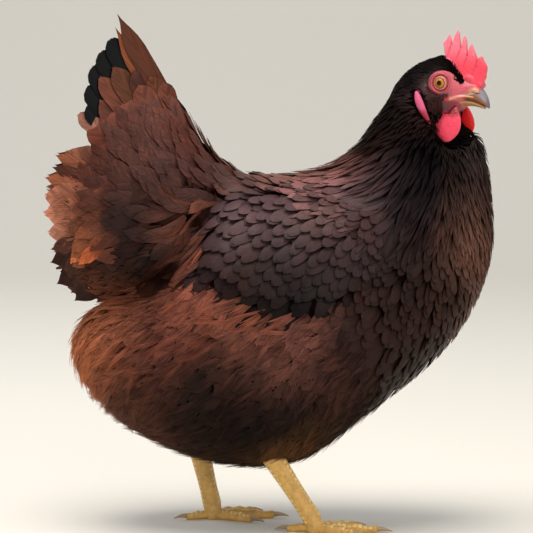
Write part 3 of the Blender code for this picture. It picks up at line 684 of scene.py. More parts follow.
# %% Body
SKIN_VOXEL = 0.004
BODY_COAT_DEPTH = 0.0055
THIN_SHARE = 0.36  # where the body is thin, as the tail is, the skin lies in by this share
THICKEST = 0.1  # the thickness where no far side is found (m)
TAIL_ROOT = (-62, 262)  # X and Z (mm)
TAIL_STUB_DRAW = 0.32
bm = bmesh.new()
solid_copy(bm, ["trunk", "neck", "thigh_left", "thigh_right", "tail_coverts"], FORM_GROWTH)
throat_pads(bm)
body_skin = remeshed(object_from("body_skin", bm), SKIN_VOXEL, 8)
body_tree = tree_of_object(body_skin)
places, normals = points_of(body_skin.data), normals_of(body_skin.data)
thick = []
for place, normal in zip(places, normals):
    place, normal = Vector(place), Vector(normal)
    hit = body_tree.ray_cast(place - normal * 0.0005, -normal)
    thick.append(THICKEST if hit[3] is None else hit[3])
depth = np.minimum(BODY_COAT_DEPTH, THIN_SHARE * np.array(thick))
places -= normals * depth[:, None]
# The flesh of the tail is only a stub: the coverts' outline is drawn in towards its root.
root = np.array([TAIL_ROOT[0], 0, TAIL_ROOT[1]]) * MM
away = (places - root) * np.array([1, 0, 1])
reach = np.linalg.norm(away, axis=1)
aft = smooth_step(reach, 0.030, 0.085) * (places[:, 0] < root[0]) * (places[:, 2] > 0.19)
places -= away * (TAIL_STUB_DRAW * aft)[:, None]
move_points(body_skin.data, places)
set_tint(body_skin.data, np.zeros((len(places), 3)))
print("body:", len(places), "points")

# %% Legs
LEG_VOXEL = 0.0009
TOE_NAMES = ("inner", "middle", "outer", "hallux")
bm = bmesh.new()
for side in SIDES:
    toes = ["toe_" + toe + "_" + side for toe in TOE_NAMES]
    solid_copy(bm, ["shank_" + side, *toes], 0.0004)
leg_skin = remeshed(object_from("leg_skin", bm), LEG_VOXEL, 4)
places = points_of(leg_skin.data)
places[:, 2] = np.maximum(places[:, 2], 0)
move_points(leg_skin.data, places)
LEG_COLOURS = {"yellow": "#e6b662", "horn": "#c4964f"}
LEG_MOTTLE_CELL, LEG_MOTTLE = 0.007, 0.6  # its size (m) and its strength
mottle = (0.5 + 0.5 * grain(places, LEG_MOTTLE_CELL, 9)) * LEG_MOTTLE
set_tint(leg_skin.data, washed(len(places), LEG_COLOURS, "yellow", [("horn", mottle)]))
leg_tree = tree_of_object(leg_skin)
print("legs:", len(leg_skin.data.polygons), "faces")

# %% [markdown]
# ## Skin finishes
#
# Comb and wattles are thick wet flesh full of blood: light goes a millimetre or two into
# them and comes out red, and their pebbled surface still shines. The legs are dry horny
# scales with a waxy shine. Both colours are carried by the skin, so the materials only add
# what is finer than the mesh: a mottle, pebbles, and the mesh of small scales on the legs,
# with shade painted into the grooves between the pebbles and scales.

# %% Flesh, under-down and leg
HALF_GLOSS = 0.5  # the specular level of most skins and horn
DULL_GLOSS = 0.05  # and of the under-down


def skin_look(name, cell, depth, roughness, mottle, subsurface, radius):
    """Skin with raised cells of this size (m): pebbles on flesh, small scales on legs."""
    made, tree, shader = new_material(
        name, Roughness=roughness, Specular_IOR_Level=HALF_GLOSS if roughness < 0.8 else DULL_GLOSS,
        Subsurface_Weight=subsurface, Subsurface_Radius=radius, Subsurface_Scale=1.0,
    )
    tint = add_node(tree, "Attribute", {"attribute_name": "tint"})
    place = add_node(tree, "TexCoord")
    cells = add_node(
        tree, "TexVoronoi", {"feature": "SMOOTH_F1", "Scale": 1 / cell},
        {"Vector": place.outputs["Object"]},
    )
    blotch = add_node(
        tree, "TexNoise", {"Scale": 0.35 / cell, "Detail": 3.0},
        {"Vector": place.outputs["Object"]},
    )
    # The blotch is the skin's own mottle. The cells are painted darker towards their edges by the
    # same share: painted shade in the grooves between pebbles and scales.
    shades = [
        add_node(tree, "MapRange", {1: 0.3, 2: 0.7, 3: 1 - mottle, 4: 1 + mottle},
                 {0: blotch.outputs[0]}),
        add_node(tree, "MapRange", {1: 0.3, 2: 0.8, 3: 1.0, 4: 1 - mottle},
                 {0: cells.outputs["Distance"]}),
    ]
    shade = add_node(
        tree, "Math", {"operation": "MULTIPLY"},
        {0: shades[0].outputs[0], 1: shades[1].outputs[0]},
    )
    colour = add_node(
        tree, "VectorMath", {"operation": "SCALE"},
        {0: tint.outputs["Color"], "Scale": shade.outputs[0]},
    )
    tree.links.new(colour.outputs[0], shader.inputs["Base Color"])
    bump = add_node(
        tree, "Bump", {"invert": True, "Strength": 0.6, "Distance": depth},
        {"Height": cells.outputs["Distance"]},
    )
    tree.links.new(bump.outputs[0], shader.inputs["Normal"])
    return made


# Living flesh: red goes deepest into it, so thin rims glow, and its pebbles glint.
flesh_look = skin_look("comb flesh, wet", 0.0012, 0.0004, 0.36, 0.06, 0.25, (0.003, 0.001, 0.0006))
# Fluff next to the skin: it swallows light, so that gaps in the coat stay quiet.
under_look = skin_look("dark under-down", 0.002, 0.0003, 0.9, 0.2, 0.0, (0, 0, 0))
# Dry horn: a waxy shine broken by the mesh of small scales.
leg_look = skin_look("leg scales, horny", 0.0021, 0.0005, 0.42, 0.16, 0.1, (0.001, 0.0005, 0.0002))
print("skin finishes:", ", ".join(look.name for look in (flesh_look, under_look, leg_look)))

# %% One skin
HEAD_KEPT, BODY_KEPT = 0.52, 0.5  # shares of the fused meshes' triangles that stay
MOSTLY_BARE = 0.35
for obj, looks in (
    (head_skin, (flesh_look, under_look)), (body_skin, (under_look,)), (leg_skin, (leg_look,))
):
    for look in looks:
        obj.data.materials.append(look)
    obj.data.shade_smooth()
corner = np.array([poly.vertices[0] for poly in head_skin.data.polygons])
head_skin.data.polygons.foreach_set(
    "material_index", (head_bare[corner] < MOSTLY_BARE).astype(np.int32)
)


def coarser(obj, share, hold=None):
    """Keeps this share of an object's triangles, and most of those whose points hold names."""
    ease = obj.modifiers.new("coarser", "DECIMATE")
    ease.ratio = share
    if hold is not None:
        group = obj.vertex_groups.new(name="free")
        for number in np.flatnonzero(hold < 0.5).tolist():
            group.add([number], 1.0, "REPLACE")
        ease.vertex_group = group.name
    return finished(obj)


# Nothing finer than the coat's depth is needed where the coat hides the skin.
coarser(head_skin, HEAD_KEPT, head_bare)
coarser(body_skin, BODY_KEPT)
with bpy.context.temp_override(
    active_object=head_skin, selected_editable_objects=[head_skin, body_skin, leg_skin]
):
    bpy.ops.object.join()
skin = head_skin
skin.name = skin.data.name = "skin"
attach(skin, "root")
flesh_nodes = ["trunk", "neck", "head", "comb", "tail_coverts"]
for side in SIDES:
    flesh_nodes += [part + "_" + side for part in ("wattle", "earlobe", "wing", "thigh", "shank")]
    flesh_nodes += ["toe_" + toe + "_" + side for toe in TOE_NAMES]
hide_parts(*flesh_nodes)
skin.data.calc_loop_triangles()
print("skin:", len(skin.data.loop_triangles), "triangles")

# %% [markdown]
# ## Eyes
#
# A hen's eye is a wet ball with an amber iris round a black pupil. The iris lies flat a
# little under a clear cornea, which could be a second, glass shell. In a ball that is seen
# from outside only, a clear coat over the iris gives the same wet gleam with one surface,
# and it survives the export. Fine spokes run out from the pupil, and the rim is dark.

# %% Finish of the eye
# Wet membrane over an amber iris: soft below, with one hard small gleam on top.
eye_look, tree, shader = new_material(
    "eye, amber and wet", Roughness=0.25, Specular_IOR_Level=0.1, Coat_Weight=0.35,
    Coat_Roughness=0.02,
)
disc = add_node(tree, "Attribute", {"attribute_name": "disc"})
parts = add_node(tree, "SeparateXYZ", {}, {0: disc.outputs["Vector"]}).outputs
spokes = add_node(
    tree, "TexNoise", {"Scale": 1.0, "Detail": 4.0}, {"Vector": disc.outputs["Vector"]}
)
IRIS_BANDS = [
    (0.0, "#050404"), (1.75, "#050404"), (2.0, "#5a3413"), (2.5, "#b5701c"), (3.6, "#c98724"),
    (4.1, "#9a6220"), (4.4, "#2a1a12"), (6.0, "#2a1a12"),
]
# (radius, mm, and colour)
LAST_BAND = IRIS_BANDS[-1][0]
share = add_node(tree, "Math", {"operation": "DIVIDE", 1: LAST_BAND}, {0: parts[2]})
ramp = add_node(tree, "ValToRGB", {}, {0: share.outputs[0]})
stops = ramp.color_ramp.elements
while len(stops) < len(IRIS_BANDS):
    stops.new(0.5)
for stop, (radius, _) in zip(stops, IRIS_BANDS):
    stop.position = radius / LAST_BAND
for stop, (_, colour) in zip(stops, IRIS_BANDS):
    stop.color = (*linear(colour), 1)
shade = add_node(tree, "MapRange", {1: 0.3, 2: 0.7, 3: 0.7, 4: 1.25}, {0: spokes.outputs[0]})
colour = add_node(
    tree, "VectorMath", {"operation": "SCALE"},
    {0: ramp.outputs[0], "Scale": shade.outputs[0]},
)
tree.links.new(colour.outputs[0], shader.inputs["Base Color"])
print(len(IRIS_BANDS), "bands from the pupil to the rim")

# %% Eyeballs
EYE_SEGMENTS, EYE_RINGS = 48, 32
SPOKES = 7  # how finely the iris is streaked round the pupil
BEHIND = 9  # added to the radius on the back of the ball, so that it has no second iris (mm)
BOTH_SIDES = ((-1, "right"), (1, "left"))


def set_vectors(mesh, name, vectors):
    """Gives each point of a mesh a vector that its finish reads."""
    layer = mesh.attributes.new(name, "FLOAT_VECTOR", "POINT")
    layer.data.foreach_set("vector", vectors.astype(np.float32).ravel())


for side, side_name in BOTH_SIDES:
    bm = bmesh.new()
    bmesh.ops.create_uvsphere(bm, u_segments=EYE_SEGMENTS, v_segments=EYE_RINGS, radius=EYE_RADIUS)
    turn = Matrix.Rotation(math.radians(-90 * side), 4, "X")
    bmesh.ops.transform(
        bm, matrix=Matrix.Translation((0, side * EYE_OUT, 0)) @ turn, verts=bm.verts
    )
    bmesh.ops.transform(bm, matrix=HEAD, verts=bm.verts)
    bmesh.ops.recalc_face_normals(bm, faces=bm.faces)
    eye = object_from("eyeball_" + side_name, bm)
    p = in_head(points_of(eye.data))
    angle = np.arctan2(p[:, 2], p[:, 0])
    radius = np.hypot(p[:, 0], p[:, 2]) + BEHIND * (p[:, 1] * side < EYE_OUT)
    spoke = np.stack([SPOKES * np.cos(angle), SPOKES * np.sin(angle), radius], axis=1)
    set_vectors(eye.data, "disc", spoke)
    eye.data.shade_smooth()
    eye.data.materials.append(eye_look)
    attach(eye, "root")
    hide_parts("eye_" + side_name)
    print(eye.name, len(eye.data.polygons), "faces")

# %% [markdown]
# ## Bill
#
# The bill is horn over bone: two plates that meet in a slit. The upper one is a hooked roof,
# horn brown on its sides and slate on its ridge and tip. Lofted from the same sections as
# the CAD model and subdivided, its ridge stays round. Carving it from a block would be as
# true, but sections can be checked against the outline one by one.

# %% Upper and lower bill
BEAK_UPPER = [
    (8, -7.5, -15.8, 9.8, 0.1), (19, -6.6, -13.8, 9, 0.2), (26, -5.2, -15, 7.7, 0.3),
    (31.5, -3.4, -17.2, 6.1, 0.35), (35.6, -6.6, -19.2, 4.6, 0.3),
    (38.4, -12.4, -20.9, 3, 0.15), (40, -18.4, -22, 1.1, 0),
]  # ahead, top, bottom, half width (mm) and how much wider below than above
BEAK_LOWER = [
    (8, -15.4, -21.4, 8.4, -0.3), (19, -13.4, -19.6, 7.4, -0.35), (26, -14.6, -19.6, 6.2, -0.35),
    (31.5, -17, -20.9, 4.3, -0.3), (36.8, -20.2, -22.6, 1.6, -0.1),
]
BILL_RING = 16
BILL_REGAIN = 1.06  # the rounding draws a section in by about this
BILL_COLOURS = {
    "side": "#8a5734", "ridge": "#8d8590", "tip": "#6d6672", "edge": "#c79a72", "low": "#bf9468",
}


def bill_part(name, rows, node):
    """One plate of the bill, lofted through its sections."""
    bm = bmesh.new()
    rings = []
    for ahead, top, low, half, skew in rows:
        ring = []
        for turn in np.linspace(0, 2 * math.pi, BILL_RING, endpoint=False):
            up = math.cos(turn)
            wide = BILL_REGAIN * half * math.sin(turn) * (1 - skew * up)
            high = (top + low) / 2 + BILL_REGAIN * up * (top - low) / 2
            ring.append(HEAD @ Vector((ahead, wide, high)))
        rings.append(ring)
    ring_loft(bm, rings)
    bmesh.ops.recalc_face_normals(bm, faces=bm.faces)
    bill = subdivided(object_from(name, bm), 2)
    f, _, u = in_head(points_of(bill.data)).T
    set_tint(bill.data, washed(len(f), BILL_COLOURS, "side", [
        ("edge", smooth_step(f, 20, 12)),
        ("ridge", smooth_step(f, 27, 31) * smooth_step(u + 0.9 * (f - 31), -13, -8)),
        ("tip", smooth_step(f, 37, 39.5)),
        ("low", np.full(len(f), 0.75 * (name == "bill_lower"))),
    ]))
    bill.data.shade_smooth()
    bill.data.materials.append(horn_look)
    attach(bill, "root")
    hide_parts(node)
    print(bill.name, len(bill.data.polygons), "faces")


# Horn worn smooth by pecking: a soft polish, slightly clear at the edges.
horn_look = skin_look("bill horn, polished", 0.004, 0.0001, 0.3, 0.08, 0.1, (0.001, 0.0006, 0.0004))
bill_part("bill_upper", BEAK_UPPER, "beak_upper")
bill_part("bill_lower", BEAK_LOWER, "beak_lower")

# %% Claws
# Horn as on the bill, but rubbed by the ground, so it shines less.
claw_look, _, _ = new_material("claw horn", Base_Color=(*linear("#a98d6c"), 1), Roughness=0.35)
for toe in TOE_NAMES:
    for side in SIDES:
        claw = nodes["claw_" + toe + "_" + side]
        claw.data.materials.clear()
        claw.data.materials.append(claw_look)
print(len(TOE_NAMES) * len(SIDES), "claws")

# %% [markdown]
# ## The lie of the coat
#
# A bird's feathers don't point just anywhere. They run back over the crown, down the neck,
# round the breast and back along the flank, and a groomer would draw that as arrows on the
# bird. So a short table of guides says, at named places, which way the feathers lie, how
# long and wide they are, and their colour there, with light and shade painted into it.
# Between the guides everything is a smooth blend by distance. A painted map would hold more,
# but a table can be read and mended.

# %% Guides
# Place (mm), lie, length, width (mm), colour. On the head the place is ahead of the eyes,
# out from the middle and up. On the body it is +X, out from the middle and +Z.
HEAD_GUIDES = {
    "forehead": ((12, 3, 11), (-0.80, 0.1, 0.55), 3.5, 2, "#0f0b0b"),
    "crown": ((-6, 5, 23), (-1, 0.1, 0), 5, 2.4, "#0e0b0b"),
    "back of the head": ((-32, 8, 13), (-0.8, 0.1, -0.6), 9, 3.2, "#110c0b"),
    "ear": ((-13, 19, -3), (-0.95, 0.1, -0.25), 4, 1.2, "#634d4e"),
    "above the ear": ((-15, 17, 10), (-0.97, 0.1, -0.2), 6, 2, "#08090b"),
    "back of the ear": ((-20, 19, -4), (-0.9, 0.1, -0.4), 6, 2, "#0c0a0a"),
    "behind the ear": ((-25, 19, 1), (-0.9, 0.1, -0.4), 8, 2.4, "#0a0808"),
    "cheek": ((-4, 18, -18), (-0.85, 0, -0.5), 4, 1.3, "#392421"),
    "jaw": ((2, 14, -32), (-0.5, 0.1, -0.85), 6, 2.2, "#110d0c"),
    "throat": ((16, 4, -34), (-0.2, 0, -1), 7, 2.6, "#110d0c"),
    "behind the lobe": ((-26, 20, -30), (-0.4, 0.1, -0.9), 14, 4, "#090707"),
}
# Their colours hold painted light and shade: the back and the side of the back are painted lighter
# with the sky's sheen, the breast rim with rim light and the tops of the flank and the fluff with
# light from above, while the low flank, behind the thigh, the thigh and the belly are painted
# darker with shade.
BODY_GUIDES = {
    "under the wattles": ((168, 8, 346), (0.75, 0, -0.6), 13, 3, "#171211"),
    "nape": ((104, 6, 362), (-0.66, 0.1, -0.75), 24, 3.6, "#130b08"),
    "back of the hackle": ((78, 18, 332), (-0.85, 0.1, -0.5), 38, 4.6, "#1d100c"),
    "side of the neck": ((128, 32, 318), (-0.4, 0.1, -0.9), 36, 3.8, "#090609"),
    "low side of the neck": ((110, 55, 278), (-0.5, 0.15, -0.85), 42, 4.4, "#231c1e"),
    "front of the neck": ((176, 16, 322), (0.05, 0, -1), 26, 3.8, "#332b29"),
    "low front of the neck": ((188, 12, 270), (0, 0, -1), 26, 5, "#46302a"),
    "shoulder of the hackle": ((72, 62, 292), (-0.9, 0.1, -0.45), 44, 5.2, "#4c393a"),
    "high breast": ((180, 34, 236), (-0.1, 0, -1), 19, 7, "#66483d"),
    "breast rim": ((186, 8, 205), (-0.2, 0, -1), 19, 7, "#5c3a2e"),
    "breast": ((160, 55, 196), (-0.35, 0, -0.95), 20, 8, "#311e17"),
    "side of the breast": ((112, 80, 228), (-0.6, 0, -0.8), 20, 8.5, "#251714"),
    "low breast": ((128, 45, 136), (-0.75, 0, -0.6), 24, 10, "#22150f"),
    "keel": ((70, 25, 84), (-0.97, 0, -0.2), 32, 14, "#20140f"),
    "back": ((32, 8, 306), (-1, 0.05, -0.05), 30, 14, "#6d453c"),
    "side of the back": ((34, 44, 299), (-0.97, 0.1, -0.2), 28, 13, "#855856"),
    "saddle": ((-42, 18, 298), (-0.95, 0.1, 0.2), 40, 11, "#473330"),
    "side of the saddle": ((-66, 62, 266), (-0.72, 0.1, -0.68), 44, 11, "#8b5342"),
    "fore flank": ((72, 86, 166), (-0.8, 0, -0.6), 30, 14, "#2d1a17"),
    "top of the flank": ((-14, 90, 184), (-0.82, 0, -0.5), 34, 15, "#7a4737"),
    "upper flank": ((14, 92, 168), (-0.8, 0, -0.56), 34, 15, "#72463c"),
    "top of the fluff": ((-72, 84, 200), (-0.86, 0, -0.45), 34, 14, "#7c4536"),
    "low flank": ((-30, 86, 112), (-0.7, 0, -0.7), 32, 14, "#170b07"),
    "behind the thigh": ((-58, 72, 102), (-0.75, 0, -0.6), 32, 13, "#1f130f"),
    "side of the belly": ((-14, 70, 82), (-0.7, 0, -0.6), 28, 12, "#120b08"),
    "flank": ((0, 92, 150), (-0.78, 0, -0.62), 34, 15, "#4f312a"),
    "shaded flank": ((-48, 86, 137), (-0.78, 0, -0.6), 34, 14, "#2c1b16"),
    "thigh": ((14, 82, 108), (-0.35, 0, -0.93), 30, 14, "#1d110d"),
    "low thigh": ((8, 48, 72), (-0.3, 0, -0.95), 22, 10, "#50341b"),
    "belly": ((-30, 20, 56), (-0.98, 0, -0.15), 32, 15, "#1c120e"),
    "front of the tail": ((-72, 14, 335), (-0.42, 0.05, 0.9), 40, 13, "#5c362d"),
    "root of the tail": ((-84, 45, 300), (-0.75, 0.05, 0.65), 38, 12, "#523530"),
    "side of the tail": ((-108, 55, 262), (-1, 0.05, 0.1), 38, 12, "#2b1c1c"),
    "low side of the tail": ((-104, 55, 228), (-0.85, 0.05, -0.5), 36, 12, "#170d0d"),
    "inside the tail": ((-166, 5, 305), (-0.25, 0.1, 0.95), 26, 10, "#3a2119"),
    "low inside the tail": ((-172, 5, 262), (-0.2, 0.1, -0.95), 24, 10, "#341d16"),
    "side of the rump": ((-92, 74, 172), (-0.88, 0, -0.45), 36, 14, "#5c3227"),
    "top of the rump": ((-126, 30, 196), (-0.97, 0.1, -0.2), 34, 12, "#7e4935"),
    "tip of the rump": ((-158, 20, 160), (-0.8, 0.1, -0.6), 32, 12, "#a4603f"),
    "low rump": ((-112, 40, 100), (-0.65, 0, -0.75), 34, 13, "#4a2c20"),
}
# The wing's own guides, which only its coverts follow, so that its edge stays clear. Their
# colours hold painted light: the top of the wing is painted lighter with the sky's sheen, its
# low rows darker with shade, and the foot of the wing darkest, a painted shadow line under
# its edge.
WING_GUIDES = {
    "shoulder": ((84, 84, 256), (-0.62, 0, -0.78), 17, 10, "#3c2929"),
    "front of the wing": ((82, 86, 228), (-0.62, 0, -0.78), 17, 10, "#2e2325"),
    "top of the wing": ((40, 80, 280), (-0.80, 0, -0.6), 25, 12, "#553b3a"),
    "wing": ((22, 94, 245), (-0.62, 0, -0.78), 25, 12.5, "#332426"),
    "rear top of the wing": ((-22, 84, 274), (-0.76, 0, -0.65), 28, 13, "#4f373b"),
    "rear of the wing": ((-44, 88, 246), (-0.76, 0, -0.65), 30, 13.5, "#3a2728"),
    "low rear of the wing": ((-22, 92, 220), (-0.74, 0, -0.67), 30, 13.5, "#271815"),
    "low front of the wing": ((62, 90, 208), (-0.66, 0, -0.75), 20, 12, "#231513"),
    "low wing": ((22, 94, 212), (-0.68, 0, -0.73), 30, 14.5, "#180d0b"),
    "foot of the wing": ((32, 92, 198), (-0.68, 0, -0.73), 30, 14.5, "#140c0b"),
}


def guide_rows():
    """The guides of both sides as arrays in the frame of the whole bird (m)."""
    rows, wing = [], []
    for side in (-1, 1):
        mirror = Vector((1, side, 1))
        for place, lie, length, width, colour in HEAD_GUIDES.values():
            lie = HEAD.to_3x3() @ (Vector(lie) * mirror)
            place = HEAD @ (Vector(place) * mirror)
            rows.append((*place, *lie.normalized(), length, width, *linear(colour)))
        for place, lie, length, width, colour in (*BODY_GUIDES.values(), *WING_GUIDES.values()):
            lie = (Vector(lie) * mirror).normalized()
            rows.append((*(Vector(place) * mirror * MM), *lie, length, width, *linear(colour)))
        wing += [False] * (len(HEAD_GUIDES) + len(BODY_GUIDES)) + [True] * len(WING_GUIDES)
    rows = np.array(rows)
    return {
        "place": rows[:, :3], "lie": rows[:, 3:6], "size": rows[:, 6:8] * MM,
        "colour": rows[:, 8:11], "wing": np.array(wing),
    }


guides = guide_rows()
GUIDE_REACH = 0.5  # how far a guide is felt, as a share of the distance to the nearest one
GUIDE_BLUR = 0.0025  # and a little further (m)
CHUNK = 4000  # points looked at together, to keep the arrays small


def guided(points, what, on_wing=False):
    """A quantity of the guides blended at these points, the nearest guides weighing most."""
    mine = guides["wing"] == on_wing
    made = []
    for chunk in np.array_split(points, max(1, len(points) // CHUNK)):
        apart = np.linalg.norm(chunk[:, None] - guides["place"][mine][None], axis=2)
        nearest = apart.min(axis=1, keepdims=True)
        weight = np.exp(-(((apart - nearest) / (GUIDE_REACH * nearest + GUIDE_BLUR)) ** 2))
        weight /= weight.sum(axis=1, keepdims=True)
        made.append(weight @ guides[what][mine])
    return np.concatenate(made)


print(len(guides["place"]), "guides on the two sides")

# %% [markdown]
# ## One feather
#
# A contour feather is a thin curved vane on a shaft. It could be a card with a cut-out
# picture, but the exported model keeps only real shape. So the vane is modelled: a flat grid
# is drawn in to the feather's outline, its edges and tip are notched where barbs have
# parted, and solidify gives it a thickness. It stays at about a hundred faces, because it
# repeats thousands of times. Across it runs from -1 to 1, along it from 0 to 1, and its
# thickness is in millimetres, so one form serves every size of feather.

# %% Outlines of feathers
# How wide a vane is at its root, how fast it widens, where its end begins, and the two powers
# that round the end: a square and a root make half a circle, a first power runs to a point.
OUTLINES = {
    "round": (0.35, 1.6, 0.66, 2.4, 0.5),  # broad, as on the back
    "oval": (0.45, 1.4, 0.50, 2.0, 0.5),  # small, narrowing evenly
    "blade": (0.45, 1.2, 0.80, 2.2, 0.5),  # broad and stiff, as in the tail
    "quill": (0.45, 1.2, 0.90, 2.0, 0.5),  # long and straight to its half-round end
    "point": (0.45, 1.2, 0.82, 1.3, 1.0),  # broad, running out to a point
    "lance": (0.50, 1.5, 0.35, 1.0, 0.8),  # the narrow hackle feather
}


def outline(kind):
    """Half width along a vane of this kind, from 0 at its root to 1."""
    start, widening, end_from, fall, rounding = OUTLINES[kind]

    def half_width(along):
        past = max(0.0, (along - end_from) / (1 - end_from))
        return min(1.0, start + widening * along) * (1 - past**fall) ** rounding

    return half_width


def outline_soft(along):
    """Half width of a loose feather that is widest near its blunt end."""
    return min(1.0, 0.4 + 0.9 * along) * (1 - max(0.0, along - 0.7) ** 2 / 0.16) ** 0.5


print(len(OUTLINES) + 1, "outlines of vane")

# %% Feather forms
VANE_THICKNESS = 0.22


def shape_of(bm):
    """The points and faces of a bmesh, all of whose faces have as many corners."""
    bmesh.ops.recalc_face_normals(bm, faces=bm.faces)
    bm.verts.index_update()
    points = np.array([v.co[:] for v in bm.verts])
    faces = np.array([[v.index for v in f.verts] for f in bm.faces])
    bm.free()
    return points, faces


def vane_form(columns, rows, half_width, tip_round, notch, seed):
    """A closed flat vane. tip_round pulls the tip's corners back, notch parts the barbs."""
    rng = np.random.default_rng(seed)
    bm = bmesh.new()
    bmesh.ops.create_grid(bm, x_segments=columns, y_segments=rows, size=1)
    for vert in bm.verts:
        across, along = vert.co.x, math.sin((vert.co.y + 1) * math.pi / 4)
        parted = notch * rng.uniform(-1, 1) * (along > 0.4)
        at_edge = abs(across) > 0.99
        at_tip = along > 0.999
        half = half_width(along * 0.997) * (1 + (0.9 * parted if at_edge else 0))
        along = along - tip_round * across**2 * along**3 + (0.5 * parted if at_tip else 0)
        vert.co = Vector((across * half, along, 0))
    bmesh.ops.solidify(bm, geom=bm.faces[:], thickness=VANE_THICKNESS)
    return shape_of(bm)


def tuft_form(strands, spread, seed):
    """A tuft of loose barbs: flat three-sided spikes that fan from one root."""
    rng = np.random.default_rng(seed)
    bm = bmesh.new()
    for number in range(strands):
        spike = bmesh.ops.create_cone(
            bm, cap_ends=True, cap_tris=False, segments=3, radius1=1, radius2=0.12, depth=1
        )["verts"]
        lean = spread * (2 * (number + 0.5) / strands - 1) + rng.uniform(-0.06, 0.06)
        reach = rng.uniform(0.68, 1.0) * (1 - 0.25 * abs(lean))
        height = rng.uniform(-0.4, 0.4)
        for vert in spike:
            along = vert.co.z + 0.5
            vert.co = Vector(
                (vert.co.x * 0.2 + lean * (0.3 + 0.7 * along), along * reach,
                 vert.co.y * 0.2 + height)
            )
    edges = [e for e in bm.edges if abs(e.verts[0].co.y - e.verts[1].co.y) > 0.3]
    bmesh.ops.subdivide_edges(bm, edges=edges, cuts=2)
    bmesh.ops.triangulate(bm, faces=bm.faces)
    return shape_of(bm)


FORMS = {
    "scale": [vane_form(6, 6, outline("round"), 0.10, 0.03, s) for s in (1, 2, 3)],
    "oval": [vane_form(6, 6, outline("oval"), 0.02, 0.02, s) for s in (23, 24, 25)],
    "loose": [vane_form(8, 8, outline("oval"), 0.02, 0.12, s) for s in (26, 27, 28)],
    "lance": [vane_form(2, 6, outline("lance"), 0.06, 0.10, s) for s in (4, 5, 6)],
    "soft": [vane_form(6, 6, outline_soft, 0.12, 0.30, s) for s in (7, 8, 9)],
    "under": [vane_form(3, 3, outline("round"), 0.1, 0.0, 30)],
    "fine": [vane_form(2, 4, outline("lance"), 0.08, 0.06, s) for s in (10, 11)],
    "plume": [vane_form(8, 9, outline("blade"), 0.03, 0.03, s) for s in (15, 16, 17, 18)],
    "quill": [vane_form(8, 12, outline("quill"), 0.0, 0.01, s) for s in (19, 20)],
    "pointed": [vane_form(6, 12, outline("point"), 0.03, 0.02, s) for s in (21, 22)],
    "tuft": [tuft_form(7, 0.9, s) for s in (12, 13, 14)],
}
print({name: len(forms[0][1]) for name, forms in FORMS.items()}, "faces in each form")

# %% [markdown]
# ## Planting and combing
#
# Feathers grow in tracts, evenly spaced. Random points alone would clump, so candidates are
# strewn over the form and thinned until none is nearer to another than the feathers' spacing
# there. Each root is then walked over the form along the lie, a few steps at a time. That
# walk is the shaft, so a feather bends with the body, and its root starts a coat's depth
# below the surface while its tip comes out over the next feather, as shingles lie.

# %% The form's points, tracts and edges
form_points = points_of(form.data)
form_normals = normals_of(form.data)
normal_tree = KDTree(len(form_points))
for number, point in enumerate(form_points):
    normal_tree.insert(point, number)
normal_tree.balance()


def on_form(points):
    """The nearest points of the outer form and its smooth normals there."""
    places = np.empty_like(points)
    normals = np.empty_like(points)
    for i, point in enumerate(points):
        places[i] = form_tree.find_nearest(Vector(point))[0]
        normals[i] = form_normals[normal_tree.find(places[i])[1]]
    return places, normals


def tract_of(points):
    """Which feathered solid each point belongs to."""
    gaps = []
    for name in feathered:
        tree = tract_trees[name]
        gaps.append([tree.find_nearest(Vector(point))[3] for point in points])
    names = np.array([name.split("_")[0] for name in feathered])
    return names[np.argmin(gaps, axis=0)]


def unit(vectors):
    """Vectors of length 1 in the same directions."""
    return vectors / np.maximum(np.linalg.norm(vectors, axis=-1, keepdims=True), 1e-9)


form.data.calc_loop_triangles()
form_corners = np.empty(len(form.data.loop_triangles) * 3, np.int32)
form.data.loop_triangles.foreach_get("vertices", form_corners)
form_corners = form_corners.reshape(-1, 3)
form_tracts = tract_of(form_points)
# The wing's lower edge: X and Z (mm). Below it the flank's feathers lap up over the wing.
WING_EDGE = [(-80, 246), (-59, 232), (-27, 209), (0, 199), (33, 193), (60, 202), (87, 219),
             (100, 235)]


def below_wing(places):
    """True under the wing's lower edge."""
    return places[:, 2] < np.interp(places[:, 0] / MM, *zip(*WING_EDGE)) * MM


form_tracts[(form_tracts == "wing") & below_wing(form_points)] = "trunk"
print({name: int((form_tracts == name).sum()) for name in np.unique(form_tracts)})

# %% Planting
STEPS = 5  # steps of the walk along a shaft
CANDIDATES = 7  # random points tried for each gap squared
PACKING = 1.43  # roots left in each gap squared once they are thinned, about


def spacing(sizes, cover):
    """The gap between roots that gives this many layers of feathers over each point."""
    return np.sqrt(sizes[:, 0] * sizes[:, 1] / (PACKING * cover))


def strewn(tracts, gap, seed):
    """Random points on these tracts of the form, many for each gap squared, and normals."""
    rng = np.random.default_rng(seed)
    corners = form_corners[np.isin(form_tracts[form_corners[:, 0]], tracts)]
    a, b, c = (form_points[corners[:, k]] for k in range(3))
    area = np.linalg.norm(np.cross(b - a, c - a), axis=1) / 2
    count = int(CANDIDATES * area.sum() / gap**2)
    picked = rng.choice(len(area), count, p=area / area.sum())
    u, v = rng.random((2, count, 1))
    flip = (u + v) > 1
    u, v = np.where(flip, 1 - u, u), np.where(flip, 1 - v, v)
    places = a[picked] + (b - a)[picked] * u + (c - a)[picked] * v
    normals = unit(form_normals[corners[picked]].sum(axis=1))
    return places, normals


def thinned(places, gaps):
    """Indices of the points that stay when none may be nearer than its gap."""
    tree = KDTree(len(places))
    for number, place in enumerate(places):
        tree.insert(place, number)
    tree.balance()
    free = np.ones(len(places), bool)
    kept = []
    for number, place in enumerate(places):
        if free[number]:
            kept.append(number)
            for _, other, _ in tree.find_range(place, gaps[number]):
                free[other] = False
    return np.array(kept, int)


